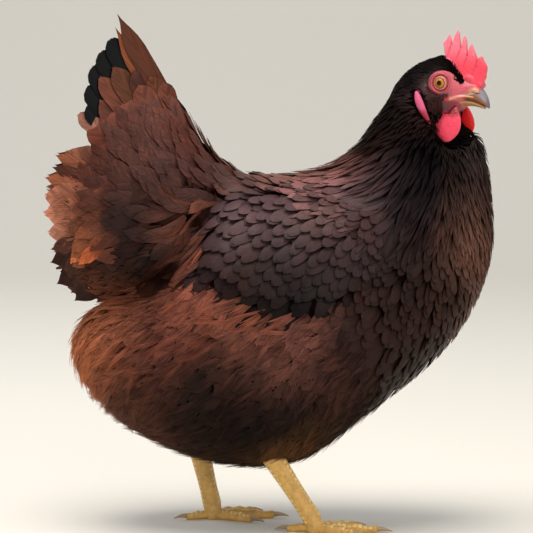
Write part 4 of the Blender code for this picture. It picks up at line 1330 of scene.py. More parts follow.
def combed(roots, normals, lengths, turn, on_wing):
    """Walks each shaft over the form. Returns its points and the normals there."""
    path, sides = [roots], [normals]
    here, normal = roots, normals
    for _ in range(STEPS):
        lie = guided(here, "lie", on_wing)
        lie = unit(lie - normal * (lie * normal).sum(axis=1, keepdims=True))
        lie = unit(lie + np.cross(normal, lie) * turn[:, None])
        here, normal = on_form(here + lie * lengths[:, None] / STEPS)
        path.append(here)
        sides.append(normal)
    return np.stack(path, axis=1), np.stack(sides, axis=1)


print("a shaft is walked in", STEPS, "steps")

# %% Bending a feather along its shaft
DEPTH_POWER, LIFT_POWER = 1.6, 1.5  # how soon a vane comes up from its root and lifts at its tip
TIP_LIMIT = 1.06  # points beyond the shaft's end are held to this share of it


def laid(form_of, path, normals, widths, depth, lift, arch):
    """Bends a feather form along each shaft: (feathers, points, 3)."""
    points, _ = form_of
    across, along, thick = points[:, 0], np.clip(points[:, 1], 0, TIP_LIMIT), points[:, 2] * MM
    reach = along * (path.shape[1] - 1)
    low = np.clip(reach.astype(int), 0, path.shape[1] - 2)
    part = (reach - low)[None, :, None]
    shaft = path[:, low] * (1 - part) + path[:, low + 1] * part
    up = unit(normals[:, low] * (1 - part) + normals[:, low + 1] * part)
    run = unit(np.gradient(path, axis=1))
    run = run[:, low] * (1 - part) + run[:, low + 1] * part
    out = unit(np.cross(up, run))
    rest = np.clip(1 - along[None], 0, None)
    rise = (lift * along[None] ** LIFT_POWER - depth * rest**DEPTH_POWER
            - arch * widths[:, None] * across[None] ** 2 + thick[None])
    return shaft + out * (across[None] * widths[:, None] / 2)[..., None] + up * rise[..., None]


print("a back feather has", len(FORMS["scale"][0][0]), "points to bend")

# %% Joining feathers to one mesh
PATCH = 0.003  # width of one feather's patch on the OFBake map
CREASE = math.radians(55)  # edges sharper than this aren't smoothed over


def joined(name, groups, look):
    """One mesh of many feathers. Each group is (form, places, colours, patches, seeds), with
    a colour for every point."""
    all_points, all_faces, all_colours, all_vanes, all_maps = [], [], [], [], []
    start = 0
    for (points, faces), places, colours, patches, seeds in groups:
        count, size = places.shape[:2]
        all_points.append(places.reshape(-1, 3))
        first = start + np.arange(count)[:, None, None] * size
        all_faces.append((faces[None] + first).reshape(-1, faces.shape[1]))
        all_colours.append(colours.reshape(-1, 3))
        vane = np.broadcast_to(points[None], (count, size, 3)).copy()
        vane[:, :, 2] = seeds[:, None]
        all_vanes.append(vane.reshape(-1, 3))
        flat = np.stack([points[:, 0] / 2, points[:, 1] - 0.5], axis=1) * PATCH
        all_maps.append((patches[:, None] + flat[None]).reshape(-1, 2))
        start += count * size
    points = np.concatenate(all_points)
    corners = np.concatenate([faces.ravel() for faces in all_faces])
    counts = np.concatenate([np.full(len(faces), faces.shape[1]) for faces in all_faces])
    starts = np.concatenate([[0], np.cumsum(counts)[:-1]])
    mesh = bpy.data.meshes.new(name)
    mesh.vertices.add(len(points))
    mesh.vertices.foreach_set("co", points.astype(np.float32).ravel())
    mesh.loops.add(len(corners))
    mesh.loops.foreach_set("vertex_index", corners.astype(np.int32))
    mesh.polygons.add(len(counts))
    mesh.polygons.foreach_set("loop_start", starts.astype(np.int32))
    mesh.update(calc_edges=True)
    mesh.validate()
    set_tint(mesh, np.concatenate(all_colours))
    set_vectors(mesh, "vane", np.concatenate(all_vanes))
    uv = mesh.uv_layers.new(name="OFBake")
    uv.data.foreach_set("uv", np.concatenate(all_maps)[corners].astype(np.float32).ravel())
    mesh.shade_smooth()
    mesh.set_sharp_from_angle(angle=CREASE)
    mesh.materials.append(look)
    obj = bpy.data.objects.new(name, mesh)
    bpy.context.scene.collection.objects.link(obj)
    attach(obj, "root")
    mesh.calc_loop_triangles()
    print(name, len(mesh.loop_triangles), "triangles")
    return obj


# %% [markdown]
# ## Feather finish
#
# A feather's colour lies in its barbs, fine strands that run slantwise from the shaft. They
# stick together in groups, so the vane looks combed. Its rim is painted darker, mostly as the
# shade where the next feather laps over it, and the fluff near its root is darkest. The
# pattern could be drawn on each feather's own map, but the barbs only need two numbers, how
# far across and how far along, which each vane carries. The sheen of the sky on the back is a
# coat over the barbs, rougher than glass and smoother than cloth.

# %% Feather material
SHEEN_ROUGHNESS = 0.4
BARB_SLANT = -0.3  # how far the barbs run back towards the tip, for each half width
SEED_SPREAD = 90.0  # parts the pattern of one feather from the next
RIM_FROM, TIP_FROM = 0.72, 0.90  # where the rim begins, across and along; in most finishes it is painted shade
FLUFF_TO, FLUFF_SHADE = (0.05, 0.45), 0.55  # the dark fluff at the root, along


def vane_look(name, roughness, gloss, streak, edge, sheen, sheen_weight, barbs, relief):
    """Streak is how much barbs differ, edge the rim's shade (below 1 it is painted shade where
    the next vane laps over, above 1 a paler rim), barbs their count along and across the
    vane, and relief their height (m)."""
    made, tree, shader = new_material(
        name, Roughness=roughness, Specular_IOR_Level=gloss, Sheen_Weight=sheen_weight,
        Sheen_Roughness=SHEEN_ROUGHNESS, Sheen_Tint=(*linear(sheen), 1),
    )
    times = {"operation": "MULTIPLY"}
    tint = add_node(tree, "Attribute", {"attribute_name": "tint"})
    vane = add_node(tree, "Attribute", {"attribute_name": "vane"})
    parts = add_node(tree, "SeparateXYZ", {}, {0: vane.outputs["Vector"]}).outputs
    across = add_node(tree, "Math", {"operation": "ABSOLUTE"}, {0: parts[0]}).outputs[0]
    slant = add_node(tree, "Math", {**times, 1: BARB_SLANT}, {0: across})
    barb = add_node(tree, "Math", {"operation": "ADD"}, {0: parts[1], 1: slant.outputs[0]})
    barb = add_node(tree, "Math", {**times, 1: barbs[0]}, {0: barb.outputs[0]})
    aside = add_node(tree, "Math", {**times, 1: barbs[1]}, {0: parts[0]})
    seed = add_node(tree, "Math", {**times, 1: SEED_SPREAD}, {0: parts[2]})
    strand = add_node(
        tree, "CombineXYZ", {},
        {0: barb.outputs[0], 1: seed.outputs[0], 2: aside.outputs[0]},
    )
    grain_node = add_node(
        tree, "TexNoise", {"Scale": 1.0, "Detail": 4.0, "Roughness": 0.65},
        {"Vector": strand.outputs[0]},
    )
    shades = []
    for source, start, end, low, high in (
        (grain_node.outputs[0], 0.3, 0.7, 1 - streak, 1 + streak),
        (across, RIM_FROM, 1.0, 1.0, edge),
        (parts[1], TIP_FROM, 1.0, 1.0, edge),
        (parts[1], *FLUFF_TO, FLUFF_SHADE, 1.0),
    ):
        shade = add_node(tree, "MapRange", {1: start, 2: end, 3: low, 4: high}, {0: source})
        shades.append(shade.outputs[0])
    while len(shades) > 1:
        both = add_node(tree, "Math", times, {0: shades.pop(), 1: shades.pop()})
        shades.append(both.outputs[0])
    colour = add_node(
        tree, "VectorMath", {"operation": "SCALE"},
        {0: tint.outputs["Color"], "Scale": shades[0]},
    )
    tree.links.new(colour.outputs[0], shader.inputs["Base Color"])
    bump = add_node(
        tree, "Bump", {"Strength": 0.6, "Distance": relief},
        {"Height": grain_node.outputs[0]},
    )
    tree.links.new(bump.outputs[0], shader.inputs["Normal"])
    return made


print("barbs slant by", BARB_SLANT, "and the rim starts at", RIM_FROM)

# %% The six finishes of feather
# Body feathers: hooked barbs give an oily shine, and the dark rim, mostly painted shade
# where the next feather laps over, makes the scaly look.
contour = vane_look(
    "barbed feather, glossy", 0.42, 0.09, 0.4, 0.48, "#b0625a", 0.04, (13.0, 1.0), 0.0003
)
# Coverts of the wing: closer barbs, a greyer bloom and the darkest rim, a painted shadow
# of the covert that laps over it.
wing_look = vane_look(
    "wing covert, satin", 0.42, 0.12, 0.3, 0.36, "#8d7078", 0.05, (13.0, 1.0), 0.0003
)
# Tail coverts: worn at the rim, which is paler and rustier than the vane.
rust_look = vane_look(
    "barbed feather, rusty rim", 0.5, 0.12, 0.5, 1.3, "#b0625a", 0.03, (13.0, 1.0), 0.0003
)
# Hackle: barbs that lie almost along the shaft, so the neck looks brushed.
hackle_look = vane_look(
    "hackle feather, silky", 0.4, 0.01, 0.6, 0.8, "#a09090", 0.0, (3.0, 4.0), 0.0004
)
# Down: loose barbs that scatter the light and catch it at their edges.
down_look = vane_look("loose down, matt", 0.75, 0.1, 0.6, 1.0, "#c07a55", 0.10, (2.2, 7.0), 0.0012)
# Tail quills: tight black barbs, smooth enough for a faint gleam.
quill_look = vane_look(
    "tail quill feather, black", 0.4, 0.08, 0.3, 0.8, "#909090", 0.0, (20.0, 1.0), 0.0002
)
print("six finishes of feather, with", len(contour.node_tree.nodes), "nodes each")

# %% [markdown]
# ## The body coat
#
# The coat is grown tract by tract, because a hen's feathers differ by place: tiny ones on
# the head, thin silky lances on the neck, round shingles on the breast and back, and loose
# hairy down on the flank and rump. One kind everywhere would be simpler, but it is the
# change of kind that reads as a bird. Each feather takes its colour from the guides, a
# little darker or lighter than its neighbour, warmer or cooler.

# %% Growing a tract
rng = np.random.default_rng(2024)
UNWRAP_AXIS = 0.2  # height of the line that the body's map is rolled round (m)
UNWRAP_LENGTH = 0.42  # length of the body that fills the map (m)
COLOUR_SPREAD = 0.16  # how much neighbours differ in lightness
LENGTH_RANGE, WIDTH_RANGE = (0.82, 1.15), (0.9, 1.1)  # of one feather against its guides


def patches_of(roots):
    """Where each root falls on an unwrap of the form: round the body and along it."""
    turn = np.arctan2(roots[:, 1], roots[:, 2] - UNWRAP_AXIS)
    return np.stack([0.5 + turn / (2 * math.pi), 0.5 + roots[:, 0] / UNWRAP_LENGTH], axis=1)


def varied(colours, spread):
    """Colours with a little difference in lightness and warmth for each feather."""
    light = 1 + spread * rng.uniform(-1, 1, (len(colours), 1))
    warm = 1 + 0.3 * spread * rng.uniform(-1, 1, (len(colours), 1)) * np.array([[1, 0, -1]])
    return colours * light * warm


def shared_out(kinds, count):
    """Every form of these kinds with a mask of the feathers that take it."""
    forms = [form for kind in kinds for form in FORMS[kind]]
    choice = rng.integers(0, len(forms), count)
    return [(form, choice == number) for number, form in enumerate(forms)]


def grown(kinds, places, normals, sizes, colours, depth, lift, arch, wander=0.1,
          clear_of=None, on_wing=False):
    """Groups of feathers of these kinds, ready to be joined. Depth is how deep their roots
    lie, lift how high their tips stand (m), and arch how far the vane bows across."""
    count = len(places)
    turn = rng.normal(0, wander, count)
    lengths = sizes[:, 0] * rng.uniform(*LENGTH_RANGE, count)
    widths = sizes[:, 1] * rng.uniform(*WIDTH_RANGE, count)
    path, sides = combed(places, normals, lengths, turn, on_wing)
    if clear_of is not None:
        clear = clear_of(path)
        path, sides, places, widths, colours = (
            a[clear] for a in (path, sides, places, widths, colours)
        )
        count = len(places)
    # Along each feather the colour goes over into the one at the place of its tip.
    change = guided(path[:, -1], "colour", on_wing) / guided(path[:, 0], "colour", on_wing) - 1
    shares = shared_out(kinds, count)
    seeds, patches = rng.random(count), patches_of(places)
    groups = []
    for shape, mine in shares:
        if mine.any():
            bent = laid(shape, path[mine], sides[mine], widths[mine], depth, lift, arch)
            along = np.clip(shape[0][:, 1], 0, 1)[None, :, None]
            tints = colours[mine, None] * (1 + change[mine, None] * along)
            groups.append((shape, bent, tints, patches[mine], seeds[mine]))
    return groups


def tract(tracts, gap, cover, seed, where=None, on_wing=False):
    """Roots, normals, sizes and colours of the feathers of a tract. Gap is that of the
    smallest feathers (m), and cover is how many layers lie over each point."""
    places, normals = strewn(tracts, gap, seed)
    if where is not None:
        inside = where(places)
        places, normals = places[inside], normals[inside]
    sizes = guided(places, "size", on_wing)
    kept = thinned(places, spacing(sizes, cover))
    places, normals, sizes = places[kept], normals[kept], sizes[kept]
    return places, normals, sizes, varied(guided(places, "colour", on_wing), COLOUR_SPREAD)


print("neighbours differ in lightness by up to", COLOUR_SPREAD)

# %% Borders of the tracts
# The upper border of the loose feathers: X and Z (mm).
FLUFF_EDGE = [(-160, 200), (-131, 208), (-88, 220), (-40, 210), (-8, 201), (36, 194), (70, 188),
              (95, 155), (112, 95), (113, 0)]


def is_low(places):
    """Flank, belly and rump, where the feathers are loose and hairy."""
    return places[:, 2] < np.interp(places[:, 0] / MM, *zip(*FLUFF_EDGE)) * MM


BREAST_FROM, BREAST_BELOW = 0.092, 0.30  # X and Z (m)


def on_breast(places):
    """Below the hackle and in front of the wing, where the feathers are small and loose."""
    return (places[:, 0] > BREAST_FROM) & (places[:, 2] < BREAST_BELOW)


def on_firm_breast(places):
    return ~is_low(places) & on_breast(places)


def on_back(places):
    """Back, saddle and shoulders, where the feathers lie as firm shingles."""
    return ~is_low(places) & ~on_breast(places)


LOBE_CLEARANCE, WATTLE_CLEARANCE = 0.0012, 0.0016  # how far the coat keeps off them (m)


def clear_of_flesh(path):
    """False for feathers that would cross the wattles or lobes."""
    clear = np.ones(len(path), bool)
    for name in NAKED_NODES[1:]:
        reach = LOBE_CLEARANCE if "lobe" in name else WATTLE_CLEARANCE
        for step in range(path.shape[1]):
            clear &= near(naked[name], path[:, step], reach) < 0.3
    return clear


def on_coated_head(places):
    """Keeps feathers off the naked face, with a ragged edge."""
    return bareness(in_head(places), 0.22) < rng.uniform(0.05, 0.8, len(places))


def from_tail_root(places):
    """X and Z beyond the tail's root (mm)."""
    return places[:, 0] / MM - TAIL_ROOT[0], places[:, 2] / MM - TAIL_ROOT[1]


TAIL_FLOOR = 0.42  # slope of the line under which the tail's own feathers end


def under_tail(places):
    """The tail's root and underside, where the long coverts leave a crevice."""
    x, z = from_tail_root(places)
    return z < TAIL_FLOOR * x + 2


SADDLE_SIDE, SADDLE_SIDE_HALVES = (-70, 262), (24, 30)  # centre and half sizes in X and Z (mm)


def at_saddle_side(places):
    """Between the wing's tip and the tail, where long streaky feathers hang down."""
    x, z = (places[:, [0, 2]] / MM - SADDLE_SIDE).T / np.array(SADDLE_SIDE_HALVES)[:, None]
    return (x**2 + z**2 < 1) & (np.abs(places[:, 1]) > 0.03)


RUMP_FROM = -0.11  # X (m)


def on_rump(places):
    return is_low(places) & (places[:, 0] < RUMP_FROM)


print(int(is_low(guides["place"]).sum()), "guides lie in the down")

# %% Back, breast and underlay of the wing
UNDERLAY_SHADE = 0.6
groups = grown(["scale"], *tract(["trunk"], 0.009, 4.2, 11, on_back), 0.006, 0.0004, 0.05,
               wander=0.13)
places, normals, sizes, colours = tract(["wing"], 0.009, 2.0, 15, on_wing=True)
groups += grown(["under"], places, normals, sizes, UNDERLAY_SHADE * colours, 0.0085, -0.0008,
                0.05, on_wing=True)
body_coat = joined("body_feathers", groups, contour)
groups = grown(["oval", "loose"], *tract(["trunk"], 0.009, 4.6, 17, on_firm_breast), 0.006,
               0.0006, 0.05, wander=0.16)
joined("breast_feathers", groups, contour)

# %% Down of the flank, belly and vent
CREVICE_SHADE = 0.45
LOW_TRACTS = ["trunk", "thigh"]
groups = grown(["soft"], *tract(LOW_TRACTS, 0.008, 4.6, 12, is_low), 0.007, 0.0002, 0.04,
               wander=0.18)
down_coat = joined("down_feathers", groups, down_look)
places, normals, sizes, colours = tract(["tail"], 0.008, 4.0, 21, under_tail)
groups = grown(["soft"], places, normals, sizes, colours * CREVICE_SHADE, 0.006, 0.001, 0.04)
joined("vent_feathers", groups, down_look)

# %% Tufts over the down


def tufts(tracts, gap, cover, seed, where, size, light, spread, depth, lift, wander):
    """Tufts of loose barbs. Size (length and width) and light are shares of the feather's
    there, and spread is how much they differ beyond that. A light above 1 is a painted
    highlight on strands that catch the light."""
    places, normals, sizes, colours = tract(tracts, gap, cover, seed, where)
    colours = varied(colours * light, spread) if spread else colours * light
    return grown(["tuft"], places, normals, sizes * size, colours, depth, lift, 0.0, wander)


for side, side_name in BOTH_SIDES:
    groups = tufts(
        LOW_TRACTS, 0.005, 6.0, 16 + side, lambda p: is_low(p) & (p[:, 1] * side > 0),
        (0.8, 0.75), 1.0, 0.35, 0.0025, 0.0032, 0.25,
    )
    joined("down_tufts_" + side_name, groups, down_look)

# %% Wisps that stand out
# Painted highlights: the wisps are painted 1.5 to 1.6 times as light as the down they stand out of,
# where their loose strands catch the light.
groups = tufts(LOW_TRACTS, 0.009, 2.0, 41, is_low, (1.25, 0.36), 1.6, 0, 0.002, 0.0050, 0.3)
groups += tufts(LOW_TRACTS, 0.007, 3.0, 45, on_rump, (1.0, 0.5), 1.5, 0, 0.002, 0.0085, 0.4)
groups += tufts(["trunk", "tail", "wing"], 0.006, 5.0, 43, at_saddle_side, (0.9, 0.6), 1.1, 0.4,
                0.003, 0.0040, 0.25)
joined("down_wisps", groups, down_look)

# %% Hackle and head
groups = grown(["lance"], *tract(["neck"], 0.0045, 6.5, 13), 0.0045, 0.0006, 0.06, wander=0.13,
               clear_of=clear_of_flesh)
neck_coat = joined("hackle_feathers", groups, hackle_look)
groups = grown(["fine"], *tract(["head"], 0.0014, 4.0, 14, on_coated_head), 0.0012, 0.0003, 0.2,
               clear_of=clear_of_flesh)
head_coat = joined("head_feathers", groups, hackle_look)

# %% [markdown]
# ## The tail
#
# A hen's tail is a folded fan. In the middle stand the stiff quill feathers, eight a side: the
# three at the front edge are brown and the others black. Over their roots lie rows of broad,
# round-tipped coverts, which run out like the ribs of a shell. Their tips make the outline,
# so each is placed by its angle and its reach from the tail's root, as the CAD model places
# them, and nothing is left to chance there but a little wander.

# %% Measures of the tail
# The fan's outline: angle (degrees) and reach from the tail's root (mm).
COVERT_REACH = [
    (38, 46), (55, 59), (74, 59), (87, 73), (96, 90), (99, 103), (103, 117), (112, 124),
    (122, 127), (134, 131), (146, 126), (158, 126), (168, 131), (180, 126), (192, 121),
    (204, 121), (212, 115), (219, 103), (225, 86), (232, 62), (240, 48),
]
# The tent of the fan: height and half width of its ridge (mm), how it spreads below that, its
# greatest half width, and how much it thins to its tips.
TAIL_RIDGE, TAIL_SPREAD, TAIL_MOST_HALF_WIDTH, TAIL_TIP_THINNING = (440, 7.0), 0.37, 62.0, 0.72
# The stiff feathers: angle, reach, width (mm), form, colour and bend (degrees).
QUILLS = [
    (105.5, 132, 15.0, "plume", "#40221a", 12), (110.4, 191, 18.0, "pointed", "#552e20", 17),
    (112.2, 181, 15.0, "pointed", "#7d4429", 14), (114.6, 174, 20.0, "quill", "#0b0c0e", 8),
    (118.2, 168, 24.0, "quill", "#0b0c0e", 3), (122.2, 161, 26.0, "quill", "#0c0d10", 2),
    (126.4, 150, 28.0, "quill", "#0c0d10", 2), (130.2, 138, 28.0, "quill", "#0c0d10", 2),
]
# Single coverts that break the fan's edge: angle, reach, length, width (mm), colour, form.
LONE_COVERTS = [
    # The dark one at 99.5 degrees is painted shade under a folded feather tip above it.
    (103.2, 124, 58, 17, "#5f3223", "plume"), (99.5, 106, 46, 15, "#2a1712", "plume"),
    (107.0, 132, 56, 18, "#59301f", "plume"), (112.5, 128, 56, 20, "#5f3223", "plume"),
    (136.8, 137, 58, 15, "#8f5f50", "plume"), (153.5, 133, 62, 13, "#7a452e", "pointed"),
    (158.0, 131, 62, 12, "#4a261c", "pointed"), (162.5, 134, 62, 14, "#824a30", "pointed"),
    (189.5, 124, 58, 15, "#43241a", "pointed"), (194.5, 127, 62, 19, "#33180f", "pointed"),
    (199.0, 121, 60, 16, "#3d1f14", "pointed"), (203.0, 128, 64, 20, "#2c1510", "pointed"),
    (208.5, 120, 62, 18, "#3a1c12", "pointed"), (212.0, 121, 64, 21, "#2a130c", "pointed"),
    (218.0, 106, 60, 20, "#3f2015", "pointed"), (222.5, 98, 56, 19, "#2a120b", "pointed"),
]
# Coverts that lie on the stiff feathers, with the same measures.
HIGH_COVERTS = [
    (123.0, 151, 92, 19, "#66382a", "plume"), (117.5, 152, 92, 21, "#55301f", "plume"),
    (112.0, 142, 80, 20, "#44251c", "plume"), (127.5, 134, 80, 22, "#5f3427", "plume"),
]
HIGH_COVERT_OUT = 3.0  # beyond the stiff feathers (mm)
TAIL_GAP = (139.5, 148.5)  # no outer coverts here: the sky shows through (degrees)
QUILL_FROM, QUILL_OUT, QUILL_OUT_PER_DEGREE = 103, 2.2, 0.42  # beside the middle (mm)
INSIDE_SHADE = 0.55
QUILL_TILT = 0.4  # the two halves of the tail lean together like a roof
# Colours of the tail by angle: at its tips, halfway and near its root.
TAIL_COLOURS = [
    (40, "#371d17", "#371d17", "#371d17"), (90, "#4a241b", "#40201a", "#381c17"),
    (110, "#5f2f22", "#4d271e", "#3a1e18"), (135, "#6c3a2c", "#5a2c20", "#42221a"),
    (150, "#85503a", "#5c2f24", "#321a14"), (160, "#80483a", "#653528", "#2c1813"),
    (168, "#b06d54", "#854f3b", "#2a1713"), (180, "#b8785f", "#94583f", "#2a1713"),
    (188, "#85523f", "#824c37", "#261512"), (196, "#4c271c", "#6f402c", "#241411"),
    (204, "#38190f", "#4c281c", "#20120f"), (240, "#241109", "#24120c", "#170e0b"),
]
print(len(QUILLS), "stiff feathers and", len(LONE_COVERTS) + len(HIGH_COVERTS), "lone coverts")

# %% Tail surface


def full_reach(angle):
    """How far the fan reaches at these angles (mm)."""
    return np.interp(angle, *zip(*COVERT_REACH))


def tail_surface(angle, reach, side):
    """Points (m) of the tail's side at these angles (degrees) and reaches (mm)."""
    turn = np.radians(angle)
    x = TAIL_ROOT[0] + reach * np.cos(turn)
    z = TAIL_ROOT[1] + reach * np.sin(turn)
    share = np.clip(reach / full_reach(angle), 0, 1)
    tent = np.minimum(TAIL_MOST_HALF_WIDTH, TAIL_RIDGE[1] + (TAIL_RIDGE[0] - z) * TAIL_SPREAD)
    ends = np.interp(angle, (38, 100, 215, 240), (0.62, 1.0, 1.0, 0.8))
    root = np.interp(share, (0.0, 0.45), (0.8, 1.0))
    out = tent * ends * root * (1 - TAIL_TIP_THINNING * share**3) * side
    return np.stack([x, out, z], axis=-1) * MM


def at_tail_root(places):
    """The part of the tail near its root, where the saddle's feathers run up on to it."""
    x, z = from_tail_root(places)
    reach = np.hypot(x, z)
    return (reach < np.where(z > 0.6 * x + 20, 84, 62)) & (z > TAIL_FLOOR * x)


def angle_and_reach(places):
    """Where places lie in the fan: degrees round the tail's root, and mm from it."""
    x, z = from_tail_root(places)
    return np.degrees(np.arctan2(z, x)) % 360, np.hypot(x, z)


def inside_tail(places):
    """Between the two halves of the fan, as seen from behind."""
    angle, reach = angle_and_reach(places)
    out = np.abs(tail_surface(angle, reach, 1)[:, 1])
    inside = (np.abs(places[:, 1]) < 0.75 * out) & (reach < 0.72 * full_reach(angle))
    x, z = from_tail_root(places)
    return (reach > 40) & (angle > 118) & inside & (z > TAIL_FLOOR * x)


def tail_colour(angle, share):
    """The fan's colour at these angles (degrees) and shares of its full reach."""
    angles = [row[0] for row in TAIL_COLOURS]
    tip, middle, root = (
        np.stack([
            np.interp(angle, angles, [linear(row[column])[k] for row in TAIL_COLOURS])
            for k in range(3)
        ], axis=1)
        for column in (1, 2, 3)
    )
    outward = smooth_step(share, 0.5, 0.82)[:, None]
    at_tip = smooth_step(share, 0.84, 0.97)[:, None]
    inner = root + (middle - root) * outward
    return inner + (tip - inner) * at_tip


print("the tail's ridge at full reach:", tail_surface(110.0, full_reach(110.0), 1).round(3))

# %% One row of tail feathers
VANE_ROOT_DEPTH, VANE_ARCH = 0.005, 0.05  # under the fan's surface (m), and across the vane
BEND_POWER = 1.5  # how soon a bent feather comes into its own angle


def tail_feathers(kinds, angles, tips, roots, widths, side, out, colours, bend, lift):
    """Feathers that run from reach roots to reach tips at these angles, bent back by this
    many degrees at their roots. With no out they lie on the fan, else that far beside the
    middle (mm). With no colours each point takes the fan's colour at its place."""
    walk = np.linspace(0, 1, STEPS + 1)[None]
    reach = roots[:, None] + (tips - roots)[:, None] * walk
    angle = angles[:, None] - bend * (1 - walk) ** BEND_POWER
    if out is None:
        path = tail_surface(angle, reach, side)
        beyond = tail_surface(angle + 1, reach, side) - path
    else:
        turn = np.radians(angle)
        path = np.stack([
            TAIL_ROOT[0] + reach * np.cos(turn), side * out[:, None] + 0 * reach,
            TAIL_ROOT[1] + reach * np.sin(turn),
        ], axis=-1) * MM
        beyond = np.stack([-np.sin(turn), QUILL_TILT * side + 0 * turn, np.cos(turn)], axis=-1)
    normals = unit(np.cross(np.gradient(path, axis=1), beyond))
    normals *= np.sign(normals[..., 1:2]) * side
    normals = np.where(np.isfinite(normals), normals, 0)
    depth = VANE_ROOT_DEPTH if out is None else 0.0
    shares = shared_out(kinds, len(angles))
    patches = np.stack([0.5 + side * (0.1 + tips / 500), angles / 360], axis=1)
    seeds = rng.random(len(angles))
    own = varied(np.ones((len(angles), 3)), 0.18)
    groups = []
    for shape, mine in shares:
        if mine.any():
            bent = laid(shape, path[mine], normals[mine], widths[mine] * MM, depth, lift, VANE_ARCH)
            along = np.clip(shape[0][:, 1], 0, 1)
            if colours is None:
                there = roots[mine, None] + (tips - roots)[mine, None] * along
                share = there / full_reach(angles[mine])[:, None]
                tints = tail_colour(np.repeat(angles[mine], len(along)), share.ravel())
                tints = tints.reshape(*share.shape, 3) * own[mine, None]
            else:
                tints = np.repeat(colours[mine, None], len(along), axis=1)
            groups.append((shape, bent, tints, patches[mine], seeds[mine]))
    return groups


def lone_feather(kind, angle, reach, root, width, side, out, colour, bend, lift):
    """One tail feather with its own measures and colour."""
    return tail_feathers(
        [kind], np.array([angle]), np.array([float(reach)]), np.array([float(root)]),
        np.array([float(width)]), side, None if out is None else np.array([out]), colour,
        bend, lift,
    )


def beside_middle(angle):
    """How far beside the middle a stiff feather at this angle stands (mm)."""
    return QUILL_OUT + QUILL_OUT_PER_DEGREE * (angle - QUILL_FROM)


print("the hindmost stiff feather stands", round(beside_middle(QUILLS[-1][0]), 1), "mm out")

# %% Rows of coverts
COVERT_ROWS = (1.0, 0.86, 0.73, 0.61)  # where the rows' tips lie, as shares of the reach
COVERTS_FROM, COVERTS_TO = 64, 238  # (degrees)
COVERT_OVERLAP = 0.66
COVERT_LENGTH, COVERT_WIDTH = (70, 48), (27, 19)  # of the outer and the inner row (mm)
COVERT_CIRCLE = 128  # the reach at which coverts are spaced by their width (mm)
COVERT_ROOT = 38.0  # no covert starts nearer to the tail's root (mm)
COVERT_WANDER, COVERT_UNEVEN = 0.13, 3.0  # in angle (share of a step) and in reach (mm)
COVERT_BEND, COVERT_LIFT = 7, 0.0010  # (degrees and m)
LOOSE_FROM = 150  # past this angle the feathers are loose at their edges (degrees)
RAGGED_FROM = 193  # and past this one narrow and ragged
LOOSE_WIDTH, RAGGED_WIDTH = 1.25, 0.55  # shares of a covert's width
TUFTS_FROM, TUFTS_TO, TUFT_STEP = 152, 222, 2.6  # tufts of loose barbs at the rear (degrees)
TUFT_LENGTH, TUFT_WIDTH, TUFT_BEND, TUFT_LIFT = 34, 17.0, 3, 0.0030  # (mm, degrees and m)
TUFT_ROWS = 3


def covert_row(row, share, side):
    """One row of coverts over one side of the fan."""
    inward = row / (len(COVERT_ROWS) - 1)
    length = COVERT_LENGTH[0] + (COVERT_LENGTH[1] - COVERT_LENGTH[0]) * inward
    width = COVERT_WIDTH[0] + (COVERT_WIDTH[1] - COVERT_WIDTH[0]) * inward
    step = math.degrees(COVERT_OVERLAP * width / (COVERT_CIRCLE * share))
    angles = np.arange(COVERTS_FROM + step * (row % 2) / 2, COVERTS_TO, step)
    angles = np.concatenate([angles, angles[angles > RAGGED_FROM] + step / 2])
    angles += rng.normal(0, COVERT_WANDER * step, len(angles))
    tips = full_reach(angles) * share - np.abs(rng.normal(0, COVERT_UNEVEN, len(angles)))
    there = (angles < TAIL_GAP[0]) | (angles > TAIL_GAP[1]) | (row > 0)
    angles, tips = angles[there], tips[there]
    ragged = angles > RAGGED_FROM
    loose = (angles > LOOSE_FROM) & ~ragged
    groups = []
    for kinds, mine, slim in (
        (["plume"], ~loose & ~ragged, 1.0), (["loose"], loose, LOOSE_WIDTH),
        (["soft", "lance"], ragged, RAGGED_WIDTH),
    ):
        groups += tail_feathers(
            kinds, angles[mine], tips[mine], np.maximum(tips[mine] - length, COVERT_ROOT),
            slim * width * rng.uniform(0.85, 1.15, mine.sum()), side, None, None,
            COVERT_BEND, COVERT_LIFT,
        )
    return groups


def tuft_row(row, share, side):
    """Loose barbs that soften the rear of the fan."""
    angles = np.arange(TUFTS_FROM, TUFTS_TO, TUFT_STEP)
    angles = angles + rng.normal(0, 0.4 * TUFT_STEP, len(angles))
    tips = full_reach(angles) * share - rng.uniform(0, 12, len(angles))
    there = (angles > TAIL_GAP[1]) & (row < TUFT_ROWS)
    angles, tips = angles[there], tips[there]
    return tail_feathers(
        ["tuft"], angles, tips, tips - TUFT_LENGTH, np.full(len(angles), TUFT_WIDTH), side,
        None, None, TUFT_BEND, TUFT_LIFT,
    )


print(len(COVERT_ROWS), "rows of coverts a side, and", TUFT_ROWS, "of tufts")

